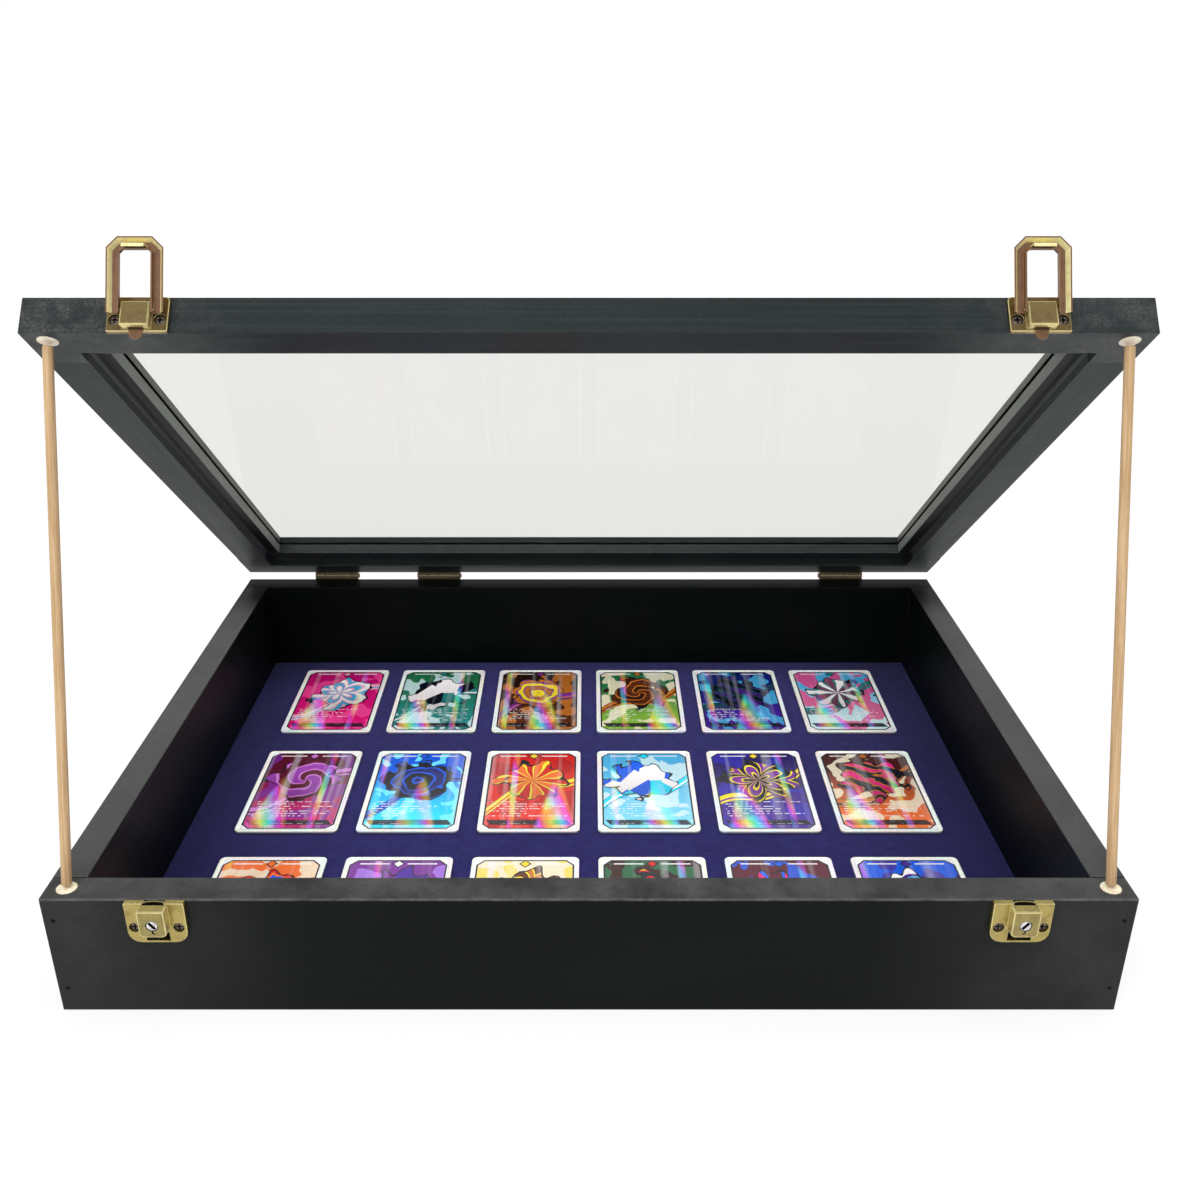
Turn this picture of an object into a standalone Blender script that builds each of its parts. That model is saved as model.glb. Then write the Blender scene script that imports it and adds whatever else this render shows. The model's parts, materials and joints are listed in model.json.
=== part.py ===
"""A shallow wooden display case with a glazed lid, two key latches and two prop rods.

The lid stands open on the rods. Everything on the lid is drawn as if the lid were shut, and hangs
from an empty on the hinge line, which turns it up. X runs to the right, Y to the back and Z up,
in metres, and the origin is the middle of the base.
"""
import math

import bmesh
import bpy
from mathutils import Matrix, Vector

# Wooden case
CASE_WIDTH = 0.510
CASE_DEPTH = 0.380
CASE_HEIGHT = 0.066
BOARD = 0.0165
EDGE_EASE = 0.0006
FLOOR_THICKNESS = 0.0025
FLOOR_RABBET = 0.006
LINER_THICKNESS = 0.001

# Clearances
FIT = 0.0003
RUNNING = 0.00015
OVERRUN = 0.002

# Lid frame and glass
LID_THICKNESS = 0.0175
LID_GAP = 0.002
LID_OPEN = math.radians(39.0)
LIP_WIDTH = 0.020
REAR_LIP_WIDTH = 0.0175
LIP_DEPTH = 0.0048
RAIL_WIDTH = 0.030
REAR_RAIL_WIDTH = 0.0345
GLASS_THICKNESS = 0.002
GLASS_HEIGHT = 0.0112
GROOVE_DEPTH = 0.005

# Prop rods and the bare-wood seats under and over them
SEAT_SIDE_INSET = 0.010
SEAT_INSET = 0.0085
SEAT_RADIUS = 0.0048
SEAT_DEPTH = 0.004
ROD_RADIUS = 0.0024
ROD_EASE = 0.0006
ROD_FOOT_GAP = 0.0003
ROD_TOP_GAP = 0.0008
TIP_AXIS_FORWARD = 0.003
TABLE_CLEARANCE = 0.0001

# Hinges
HINGE_END_INSET = 0.065
HINGE_SPARE_SPACING = 0.077
HINGE_WIDTH = 0.032
HINGE_BACK = 0.0044
BARREL_RADIUS = 0.0027
HINGE_PIN_RADIUS = 0.0011
HINGE_PIN_HEAD = 0.0017
HINGE_PIN_HEAD_HEIGHT = 0.0006
KNUCKLES = 5
LEAF_THICKNESS = 0.0012
CASE_LEAF_HEIGHT = 0.019
LID_LEAF_HEIGHT = 0.013
LEAF_CORNER = 0.0015

# Pressed latch parts
LATCH_END_INSET = 0.054
SHEET = 0.0007
PLATE_BACK_GAP = 0.0002
LID_PLATE_HALF = 0.0137
LID_PLATE_LOW = -0.0007
LID_PLATE_HIGH = 0.0163
LID_PAN_DEPTH = 0.0025
LID_PLATE_CORNER = 0.002
LID_BOSS_HALF = 0.0066
LID_BOSS_LOW = 0.0004
LID_BOSS_HIGH = 0.0122
LID_BOSS_OUT = 0.0066
BOSS_EASE = 0.0008
TONGUE_HALF = 0.003
TONGUE_DROP = 0.0048
TONGUE_OUT = 0.0021
TONGUE_NOTCH_HALF = 0.0034
TONGUE_NOTCH_DEPTH = 0.0017
LID_SCREW_X = 0.0101
LID_SCREW_HEIGHT = 0.0050

LOCK_PLATE_HALF = 0.014
LOCK_PLATE_TOP = 0.0003
LOCK_PLATE_DROP = 0.0227
LOCK_PAN_DEPTH = 0.003
LOCK_PLATE_CORNER = 0.006
LOCK_PLATE_TOP_CORNER = 0.0008
LOCK_BOSS_HALF = 0.0065
LOCK_BOSS_TOP = 0.0010
LOCK_BOSS_DROP = 0.0157
LOCK_BOSS_OUT = 0.0082
LOCK_BOSS_CORNER = 0.0026
LOCK_SCREW_X = 0.0103
LOCK_SCREW_DROP = 0.0140
FLANGE_GAP_HALF = 0.0050
ARCH_HALF = 0.0056
ARCH_RISE = 0.0012
ARCH_FOOT_OUT = 0.0019
LIP_SLOT_HALF = 0.0056
LIP_SLOT_GAP = 0.0008
LIP_SLOT_HEIGHT = 0.0050

# Lock cylinder, keyway and cam
CYLINDER_DROP = 0.0092
CYLINDER_RADIUS = 0.0029
CYLINDER_RECESS = 0.0004
KEYWAY_WIDTH = 0.0015
KEYWAY_HEIGHT = 0.0044
KEYWAY_DEPTH = 0.0022
KEYWAY_TURN = math.radians(38.0)
NOTCH_WIDTH = 0.0009
NOTCH_DROP = 0.0046
NOTCH_FOOT = 0.0019
CAM_OUT = 0.0014
CAM_THICKNESS = 0.0007
CAM_HALF_WIDTH = 0.0015
CAM_REACH = 0.0079

# Bail
BAIL_PIVOT_HEIGHT = 0.0084
BAIL_PIVOT_OUT = 0.0052
BAIL_SWING = math.radians(166.0)
BAIL_HALF_OPENING = 0.0071
BAIL_HEEL = 0.0015
BAIL_BACK = 0.0018
BAIL_DEPTH = 0.0030
BAIL_BAR_GAP = 0.0005
BAIL_INNER_CHAMFER = 0.0016
BAIL_FLARE = 0.0017
BAIL_FACE_WIDTH = 0.0040
BAIL_ROUND = 0.0008
PIVOT_STUB_RADIUS = 0.0007
PIVOT_HOLE_RADIUS = 0.0009
BAIL_LIP_HALF = 0.005
BAIL_LIP_OUT = 0.0005
BAIL_HOOK_HEIGHT = 0.0007

# Screws
SCREW_HEAD_RADIUS = 0.0024
SCREW_HEAD_HEIGHT = 0.0011
SCREW_SHANK_RADIUS = 0.0011
SCREW_LENGTH = 0.010
SCREW_SEAT_OUT = 0.0008
SCREW_CUP_WALL = 0.0005
CROSS_HALF_LENGTH = 0.0016
CROSS_HALF_WIDTH = 0.00042
CROSS_DEPTH = 0.0006

# Cards on the liner
CARD_WIDTH = 0.061
CARD_HEIGHT = 0.091
CARD_THICKNESS = 0.0018
CARD_CORNER = 0.0032
CARD_EASE = 0.0004
MOST_CARD_COLUMNS = 6
MOST_CARD_ROWS = 3
CARD_SIDE_MARGIN = 0.0285
CARD_BACK_MARGIN = 0.0165
CARD_FRONT_MARGIN = 0.0075
CARD_SPACE_MIN = 0.008

# Facet counts
ROUND_STEPS = 16
SMALL_ROUND_STEPS = 12
CORNER_STEPS = 4
ARCH_STEPS = 8
ROUND_PROFILE = 0.5

HALF_WIDTH = CASE_WIDTH / 2
HALF_DEPTH = CASE_DEPTH / 2
INNER_X = HALF_WIDTH - BOARD
INNER_Y = HALF_DEPTH - BOARD
SEAT_X = HALF_WIDTH - SEAT_SIDE_INSET
LATCH_X = HALF_WIDTH - LATCH_END_INSET
HINGE_X = HALF_WIDTH - HINGE_END_INSET
HINGE_PLACES = (-HINGE_X, HINGE_SPARE_SPACING - HINGE_X, HINGE_X)
LID_UNDERSIDE = CASE_HEIGHT + LID_GAP
HINGE_AXIS = Vector((0.0, HALF_DEPTH + HINGE_BACK, CASE_HEIGHT + LID_GAP / 2))
BAIL_BAR_DROP = LID_GAP + BAIL_PIVOT_HEIGHT + LOCK_BOSS_DROP + BAIL_BAR_GAP
X_AXIS, Y_AXIS, Z_AXIS = Vector((1, 0, 0)), Vector((0, 1, 0)), Vector((0, 0, 1))


def clear_scene():
    """Remove whatever the scene holds."""
    for item in list(bpy.data.objects):
        bpy.data.objects.remove(item, do_unlink=True)


def material(name, colour, roughness, metallic=0.0, alpha=1.0):
    """Make a plain finish."""
    made = bpy.data.materials.new(name)
    made.use_nodes = True
    shader = made.node_tree.nodes["Principled BSDF"]
    shader.inputs["Base Color"].default_value = (*colour, 1.0)
    shader.inputs["Roughness"].default_value = roughness
    shader.inputs["Metallic"].default_value = metallic
    shader.inputs["Alpha"].default_value = alpha
    made.diffuse_color = (*colour, alpha)
    return made


def empty(name, place, parent=None, turn=0.0):
    """Put an empty on a joint's axis, turned about X."""
    made = bpy.data.objects.new(name, None)
    bpy.context.collection.objects.link(made)
    made.parent = parent
    made.location = place
    made.rotation_euler = (turn, 0.0, 0.0)
    return made


def solid(name, shape, finish=None, parent=None, place=(0.0, 0.0, 0.0)):
    """Turn a bmesh into a named object."""
    bmesh.ops.remove_doubles(shape, verts=shape.verts, dist=FIT / 100)
    bmesh.ops.recalc_face_normals(shape, faces=shape.faces)
    mesh = bpy.data.meshes.new(name)
    shape.to_mesh(mesh)
    shape.free()
    mesh.shade_smooth()
    mesh.set_sharp_from_angle(angle=math.radians(35.0))
    made = bpy.data.objects.new(name, mesh)
    bpy.context.collection.objects.link(made)
    if finish:
        mesh.materials.append(finish)
    made.parent = parent
    made.location = place
    return made


def combine(target, shape, operation):
    """Cut a shape from a piece or join it on, in the piece's own coordinates."""
    tool = solid(f"{target.name}_{operation.lower()}_{len(target.modifiers)}", shape)
    tool.parent = target
    tool.hide_render = True
    tool.display_type = "WIRE"
    step = target.modifiers.new(tool.name, "BOOLEAN")
    step.operation = operation
    step.object = tool


def cut(target, shape):
    """Cut a shape from a piece."""
    combine(target, shape, "DIFFERENCE")


def fuse(target, shape):
    """Join a shape on to a piece."""
    combine(target, shape, "UNION")


def add_box(shape, low, high):
    """Add a box between two corners and return its vertices."""
    low, high = Vector(low), Vector(high)
    matrix = Matrix.Translation((low + high) / 2) @ Matrix.Diagonal((*(high - low), 1.0))
    return bmesh.ops.create_cube(shape, size=1.0, matrix=matrix)["verts"]


def box(low, high):
    """Make a box between two corners."""
    shape = bmesh.new()
    add_box(shape, low, high)
    return shape


def board(low, high, eased):
    """Make a box with some edges eased, each named by the two outward directions that meet there."""
    shape = box(low, high)
    chosen = []
    for edge in shape.edges:
        normals = [face.normal for face in edge.link_faces]
        for pair in eased:
            if all(max(normal.dot(Vector(way)) for normal in normals) > 0.9 for way in pair):
                chosen.append(edge)
    bmesh.ops.bevel(shape, geom=chosen, offset=EDGE_EASE, segments=2, profile=ROUND_PROFILE, affect="EDGES")
    return shape


def prism(shape, outline, start, end):
    """Extrude an outline of X and Z along Y, towards the front, from one distance out to another."""
    face = shape.faces.new([shape.verts.new((x, -start, z)) for x, z in outline])
    grown = bmesh.ops.extrude_face_region(shape, geom=[face])["geom"]
    moved = [item for item in grown if isinstance(item, bmesh.types.BMVert)]
    bmesh.ops.translate(shape, verts=moved, vec=(0.0, start - end, 0.0))
    return [item for item in grown if isinstance(item, bmesh.types.BMFace)]


def side_prism(shape, outline, start, end):
    """Extrude an outline of distance out and height along X."""
    face = shape.faces.new([shape.verts.new((start, -out, z)) for out, z in outline])
    grown = bmesh.ops.extrude_face_region(shape, geom=[face])["geom"]
    moved = [item for item in grown if isinstance(item, bmesh.types.BMVert)]
    bmesh.ops.translate(shape, verts=moved, vec=(end - start, 0.0, 0.0))


def turned(shape, profile, matrix, steps=ROUND_STEPS):
    """Turn a profile of radius and height about Z and put it in place. A ring's profile is closed."""
    before = set(shape.verts)
    points = [shape.verts.new((radius, 0.0, height)) for radius, height in profile]
    edges = [shape.edges.new(pair) for pair in zip(points, points[1:])]
    if profile[0][0] > 0 and profile[-1][0] > 0:
        edges.append(shape.edges.new((points[-1], points[0])))
    bmesh.ops.spin(shape, geom=points + edges, cent=(0, 0, 0), axis=Z_AXIS, dvec=(0, 0, 0),
                   angle=math.tau, steps=steps, use_merge=True)
    made = [vert for vert in shape.verts if vert not in before]
    bmesh.ops.remove_doubles(shape, verts=made, dist=FIT / 100)
    made = [vert for vert in shape.verts if vert not in before]
    bmesh.ops.transform(shape, matrix=matrix, verts=made)


def rod_profile(radius, start, end):
    """Give the profile of a plain cylinder."""
    return [(0.0, start), (radius, start), (radius, end), (0.0, end)]


def facing_out(x, z, out=0.0):
    """Place a turned shape so that its height runs out of the front."""
    return Matrix.Translation((x, -out, z)) @ Matrix.Rotation(math.radians(90.0), 4, "X")


def along_x(x, y, z):
    """Place a turned shape so that its height runs to the right."""
    return Matrix.Translation((x, y, z)) @ Matrix.Rotation(math.radians(90.0), 4, "Y")


def rounded(half, low, high, low_radius, high_radius):
    """Outline a plate that is symmetric about X, with rounded lower and upper corners."""
    points = []
    corners = ((half, low, low_radius, -1, 270), (half, high, high_radius, 1, 0),
               (-half, high, high_radius, 1, 90), (-half, low, low_radius, -1, 180))
    for x, z, radius, up, start in corners:
        centre_x = x - math.copysign(radius, x)
        centre_z = z - up * radius
        for step in range(CORNER_STEPS + 1):
            angle = math.radians(start + 90.0 * step / CORNER_STEPS)
            points.append((centre_x + radius * math.cos(angle), centre_z + radius * math.sin(angle)))
    return points


def eased_boss(outline, start, end, ease):
    """Extrude a boss and ease the edge round its front."""
    shape = bmesh.new()
    front = prism(shape, outline, start, end)
    edges = [edge for face in front for edge in face.edges]
    bmesh.ops.bevel(shape, geom=edges, offset=ease, segments=2, profile=ROUND_PROFILE, affect="EDGES")
    return shape


def turn_up(point):
    """Carry a point of the shut lid to where the open lid has it."""
    return HINGE_AXIS + Matrix.Rotation(-LID_OPEN, 3, "X") @ (Vector(point) - HINGE_AXIS)


def build_case(wood, felt):
    """Make the four walls, the bottom panel in its rabbet and the liner."""
    floor_x, floor_y = INNER_X + FLOOR_RABBET, INNER_Y + FLOOR_RABBET
    left, right, front, back, up = -X_AXIS, X_AXIS, -Y_AXIS, Y_AXIS, Z_AXIS
    walls = (
        ("front_panel", (-HALF_WIDTH, -HALF_DEPTH, 0), (HALF_WIDTH, -INNER_Y, CASE_HEIGHT),
         ((front, up), (front, left), (front, right), (back, up), (left, up), (right, up))),
        ("rear_panel", (-HALF_WIDTH, INNER_Y, 0), (HALF_WIDTH, HALF_DEPTH, CASE_HEIGHT),
         ((back, up), (back, left), (back, right), (front, up), (left, up), (right, up))),
        ("left_panel", (-HALF_WIDTH, FIT - INNER_Y, 0), (-INNER_X, INNER_Y - FIT, CASE_HEIGHT),
         ((left, up), (right, up))),
        ("right_panel", (INNER_X, FIT - INNER_Y, 0), (HALF_WIDTH, INNER_Y - FIT, CASE_HEIGHT),
         ((left, up), (right, up))),
    )
    panels = {}
    for name, low, high, eased in walls:
        panels[name] = solid(name, board(low, high, eased), wood)
        cut(panels[name], box((-floor_x, -floor_y, -OVERRUN),
                              (floor_x, floor_y, FLOOR_THICKNESS + FIT)))
    solid("bottom_panel", box((FIT - floor_x, FIT - floor_y, 0),
                              (floor_x - FIT, floor_y - FIT, FLOOR_THICKNESS)), wood)
    liner_low = FLOOR_THICKNESS + FIT
    solid("felt_liner", box((FIT - INNER_X, FIT - INNER_Y, liner_low),
                            (INNER_X - FIT, INNER_Y - FIT, liner_low + LINER_THICKNESS)), felt)
    return panels


def spread(start, end, size, most):
    """Give the middles of as many things of one size as fit between two edges, evenly spread."""
    room = end - start
    count = min(most, int((room + CARD_SPACE_MIN) / (size + CARD_SPACE_MIN)))
    if count < 2:
        return [(start + end) / 2] * count
    pitch = (room - size) / (count - 1)
    return [start + size / 2 + index * pitch for index in range(count)]


def build_cards(foil):
    """Lay the cards on the liner in rows, the back row first."""
    card_low = FLOOR_THICKNESS + LINER_THICKNESS + 2 * FIT
    shape = bmesh.new()
    outline = rounded(CARD_WIDTH / 2, -CARD_HEIGHT / 2, CARD_HEIGHT / 2, CARD_CORNER, CARD_CORNER)
    top = prism(shape, outline, 0.0, CARD_THICKNESS)
    edges = [edge for face in top for edge in face.edges]
    bmesh.ops.bevel(shape, geom=edges, offset=CARD_EASE, segments=1, profile=ROUND_PROFILE, affect="EDGES")
    laid_flat = Matrix.Rotation(math.radians(-90.0), 3, "X")
    bmesh.ops.rotate(shape, verts=shape.verts, cent=(0, 0, 0), matrix=laid_flat)
    columns = spread(CARD_SIDE_MARGIN - INNER_X, INNER_X - CARD_SIDE_MARGIN, CARD_WIDTH, MOST_CARD_COLUMNS)
    rows = spread(CARD_FRONT_MARGIN - INNER_Y, INNER_Y - CARD_BACK_MARGIN, CARD_HEIGHT, MOST_CARD_ROWS)
    pattern = solid("card_pattern", shape, foil).data
    bpy.data.objects.remove(bpy.data.objects["card_pattern"])
    for row, y in enumerate(reversed(rows), start=1):
        for column, x in enumerate(columns, start=1):
            card = bpy.data.objects.new(f"card_{row}_{column}", pattern)
            bpy.context.collection.objects.link(card)
            card.location = (x, y, card_low)


def build_lid(wood, glass, lid_axis):
    """Make the lid's rails, with their lip and glass groove, and the pane."""
    home = -HINGE_AXIS
    top = LID_UNDERSIDE + LID_THICKNESS
    front_inner, rear_inner = RAIL_WIDTH - HALF_DEPTH, HALF_DEPTH - REAR_RAIL_WIDTH
    side_inner = HALF_WIDTH - RAIL_WIDTH
    left, right, front, back, up, down = -X_AXIS, X_AXIS, -Y_AXIS, Y_AXIS, Z_AXIS, -Z_AXIS
    frame = (
        ("lid_front_rail", (-HALF_WIDTH, -HALF_DEPTH, LID_UNDERSIDE), (HALF_WIDTH, front_inner, top),
         ((front, up), (front, down), (front, left), (front, right), (left, up), (right, up))),
        ("lid_rear_rail", (-HALF_WIDTH, rear_inner, LID_UNDERSIDE), (HALF_WIDTH, HALF_DEPTH, top),
         ((back, up), (back, down), (back, left), (back, right), (left, up), (right, up))),
        ("lid_left_rail", (-HALF_WIDTH, front_inner + FIT, LID_UNDERSIDE),
         (-side_inner, rear_inner - FIT, top),
         ((left, up), (left, down))),
        ("lid_right_rail", (side_inner, front_inner + FIT, LID_UNDERSIDE),
         (HALF_WIDTH, rear_inner - FIT, top),
         ((right, up), (right, down))),
    )
    lip_x = HALF_WIDTH - LIP_WIDTH
    glass_low = LID_UNDERSIDE + GLASS_HEIGHT
    rails = {}
    for name, low, high, eased in frame:
        rails[name] = solid(name, board(low, high, eased), wood, lid_axis, home)
        cut(rails[name], box((-lip_x, LIP_WIDTH - HALF_DEPTH, LID_UNDERSIDE - OVERRUN),
                             (lip_x, HALF_DEPTH - REAR_LIP_WIDTH, LID_UNDERSIDE + LIP_DEPTH)))
        cut(rails[name], box((-side_inner - GROOVE_DEPTH, front_inner - GROOVE_DEPTH, glass_low - FIT),
                             (side_inner + GROOVE_DEPTH, rear_inner + GROOVE_DEPTH,
                              glass_low + GLASS_THICKNESS + FIT)))
    edge = GROOVE_DEPTH - FIT
    solid("glass_pane", box((-side_inner - edge, front_inner - edge, glass_low),
                            (side_inner + edge, rear_inner + edge, glass_low + GLASS_THICKNESS)),
          glass, lid_axis, home)
    return rails


def build_seats(bare_wood, panels, rails, lid_axis):
    """Let bare-wood plugs into the rim and the lid where the rods stand and push."""
    seat_y = SEAT_INSET - HALF_DEPTH
    plug = [(0.0, 0.0), (SEAT_RADIUS, 0.0), (SEAT_RADIUS, SEAT_DEPTH), (0.0, SEAT_DEPTH)]
    pocket = rod_profile(SEAT_RADIUS + FIT, -OVERRUN, SEAT_DEPTH + FIT)
    over = Matrix.Rotation(math.pi, 4, "X")
    for side, x in (("left", -SEAT_X), ("right", SEAT_X)):
        rim = Matrix.Translation((x, seat_y, CASE_HEIGHT)) @ over
        lid = Matrix.Translation((x, seat_y, LID_UNDERSIDE))
        for name, place, host, parent, home in (
                (f"rim_seat_{side}", rim, panels["front_panel"], None, Vector()),
                (f"lid_seat_{side}", lid, rails["lid_front_rail"], lid_axis, -HINGE_AXIS)):
            shape = bmesh.new()
            turned(shape, plug, place)
            solid(name, shape, bare_wood, parent, home)
            hole = bmesh.new()
            turned(hole, pocket, place)
            cut(host, hole)


def build_rods(bare_wood):
    """Stand the rods between the seats, each hung from the line that it tips forward about."""
    foot = Vector((0.0, SEAT_INSET - HALF_DEPTH, CASE_HEIGHT))
    head = turn_up((0.0, SEAT_INSET - HALF_DEPTH, LID_UNDERSIDE))
    lean = math.atan2(head.y - foot.y, head.z - foot.z)
    start = ROD_FOOT_GAP + ROD_RADIUS * math.sin(lean)
    end = (head - foot).length - ROD_TOP_GAP - ROD_RADIUS * math.tan(LID_OPEN - lean)
    profile = [(0.0, start), (ROD_RADIUS - ROD_EASE, start), (ROD_RADIUS, start + ROD_EASE),
               (ROD_RADIUS, end - ROD_EASE), (ROD_RADIUS - ROD_EASE, end), (0.0, end)]
    # The line lies so far below the foot that the tipped rod ends up flat on the table
    swing = math.pi / 2 + lean
    lying = ROD_RADIUS + TABLE_CLEARANCE
    drop = (CASE_HEIGHT - lying + TIP_AXIS_FORWARD * math.sin(swing)) / (1 - math.cos(swing))
    for side, x in (("left", -SEAT_X), ("right", SEAT_X)):
        line = Vector((x, foot.y - TIP_AXIS_FORWARD, foot.z - drop))
        holder = empty(f"prop_{side}_axis", line)
        shape = bmesh.new()
        turned(shape, profile, Matrix.Rotation(-lean, 4, "X"))
        solid(f"prop_{side}", shape, bare_wood, holder, Vector((x, foot.y, foot.z)) - line)


def leaf_outline(half, low, high, rounded_end):
    """Outline a hinge leaf, with its far corners rounded."""
    small = LEAF_CORNER / 4
    if rounded_end == "low":
        return rounded(half, low, high, LEAF_CORNER, small)
    return rounded(half, low, high, small, LEAF_CORNER)


def knuckles(shape, centre, first):
    """Add every second knuckle of a barrel along X."""
    pitch = HINGE_WIDTH / KNUCKLES
    bore = HINGE_PIN_RADIUS + RUNNING
    for index in range(first, KNUCKLES, 2):
        start = centre - HINGE_WIDTH / 2 + index * pitch + RUNNING
        length = pitch - 2 * RUNNING
        ring = [(bore, 0.0), (BARREL_RADIUS, 0.0), (BARREL_RADIUS, length), (bore, length)]
        turned(shape, ring, along_x(start, HINGE_AXIS.y, HINGE_AXIS.z))


def necks(centre, first, low, high):
    """Make the strips that join a leaf to its knuckles."""
    shape = bmesh.new()
    pitch = HINGE_WIDTH / KNUCKLES
    near = HALF_DEPTH + PLATE_BACK_GAP
    for index in range(first, KNUCKLES, 2):
        start = centre - HINGE_WIDTH / 2 + index * pitch + RUNNING
        far = HINGE_AXIS.y - HINGE_PIN_RADIUS / 2
        add_box(shape, (start, near, low), (start + pitch - 2 * RUNNING, far, high))
    return shape


def build_hinges(brass, steel, lid_axis):
    """Make three butt hinges on the back: a leaf on the case, a leaf on the lid and a pin."""
    near, far = -HALF_DEPTH - PLATE_BACK_GAP - LEAF_THICKNESS, -HALF_DEPTH - PLATE_BACK_GAP
    neck_far = BARREL_RADIUS - LEAF_THICKNESS
    for number, centre in enumerate(HINGE_PLACES, start=1):
        half = HINGE_WIDTH / 2
        leaves = (
            ("case_leaf", 0, HINGE_AXIS.z - CASE_LEAF_HEIGHT, HINGE_AXIS.z - RUNNING, "low",
             HINGE_AXIS.z - BARREL_RADIUS + RUNNING, HINGE_AXIS.z - neck_far, None, Vector()),
            ("lid_leaf", 1, HINGE_AXIS.z + RUNNING, HINGE_AXIS.z + LID_LEAF_HEIGHT, "high",
             HINGE_AXIS.z + neck_far, HINGE_AXIS.z + BARREL_RADIUS - RUNNING, lid_axis, -HINGE_AXIS),
        )
        for kind, first, low, high, end, neck_low, neck_high, parent, home in leaves:
            shape = bmesh.new()
            prism(shape, leaf_outline(half, low, high, end), near, far)
            bmesh.ops.translate(shape, verts=shape.verts, vec=(centre, 0, 0))
            leaf = solid(f"hinge_{number}_{kind}", shape, brass, parent, home)
            barrel = bmesh.new()
            knuckles(barrel, centre, first)
            fuse(leaf, barrel)
            fuse(leaf, necks(centre, first, neck_low, neck_high))
        cap = HINGE_WIDTH / 2 + FIT
        profile = [(0.0, -cap - HINGE_PIN_HEAD_HEIGHT), (HINGE_PIN_HEAD, -cap - HINGE_PIN_HEAD_HEIGHT / 2),
                   (HINGE_PIN_HEAD, -cap), (HINGE_PIN_RADIUS, -cap), (HINGE_PIN_RADIUS, cap),
                   (HINGE_PIN_HEAD, cap), (HINGE_PIN_HEAD, cap + HINGE_PIN_HEAD_HEIGHT / 2),
                   (0.0, cap + HINGE_PIN_HEAD_HEIGHT)]
        pin = bmesh.new()
        turned(pin, profile, along_x(centre, HINGE_AXIS.y, HINGE_AXIS.z), SMALL_ROUND_STEPS)
        solid(f"hinge_{number}_pin", pin, steel)


def screw_cups(places, depth):
    """Make the sunk cups of a plate's screws."""
    shape = bmesh.new()
    radius = SCREW_HEAD_RADIUS + FIT + SCREW_CUP_WALL
    for x, z in places:
        turned(shape, rod_profile(radius, PLATE_BACK_GAP, depth - SHEET / 2), facing_out(x, z))
    return shape


def screw_bores(places, depth):
    """Make the stepped bores that take a plate's screws."""
    shape = bmesh.new()
    head, shank = SCREW_HEAD_RADIUS + FIT, SCREW_SHANK_RADIUS + FIT
    profile = [(0.0, -OVERRUN), (shank, -OVERRUN), (shank, SCREW_SEAT_OUT), (head, SCREW_SEAT_OUT),
               (head, depth + OVERRUN), (0.0, depth + OVERRUN)]
    for x, z in places:
        turned(shape, profile, facing_out(x, z))
    return shape


def build_screw(name, x, z, bronze, host, parent, home):
    """Make one cross-head screw and drill its pilot hole in the wood behind."""
    seat = SCREW_SEAT_OUT + FIT
    rim = seat + SCREW_HEAD_HEIGHT / 2
    profile = [(0.0, seat - SCREW_LENGTH), (SCREW_SHANK_RADIUS, seat - SCREW_LENGTH + SCREW_SHANK_RADIUS),
               (SCREW_SHANK_RADIUS, seat), (SCREW_HEAD_RADIUS, seat), (SCREW_HEAD_RADIUS, rim),
               (SCREW_HEAD_RADIUS * 0.7, seat + SCREW_HEAD_HEIGHT * 0.9), (0.0, seat + SCREW_HEAD_HEIGHT)]
    shape = bmesh.new()
    turned(shape, profile, facing_out(0.0, 0.0), SMALL_ROUND_STEPS)
    screw = solid(name, shape, bronze, parent, home + Vector((x, -HALF_DEPTH, z)))
    long_arm, short_arm = CROSS_HALF_LENGTH, CROSS_HALF_WIDTH
    cross = [(short_arm, short_arm), (long_arm, short_arm), (long_arm, -short_arm), (short_arm, -short_arm)]
    outline = []
    for quarter in range(4):
        turn = Matrix.Rotation(-quarter * math.pi / 2, 2)
        outline += [tuple(turn @ Vector(point)) for point in cross[:3]]
    tool = bmesh.new()
    prism(tool, outline, seat + SCREW_HEAD_HEIGHT - CROSS_DEPTH, seat + SCREW_HEAD_HEIGHT + OVERRUN)
    cut(screw, tool)
    pilot = bmesh.new()
    turned(pilot, rod_profile(SCREW_SHANK_RADIUS + FIT, seat - SCREW_LENGTH - FIT, OVERRUN),
           facing_out(x, z, HALF_DEPTH), SMALL_ROUND_STEPS)
    cut(host, pilot)


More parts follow.
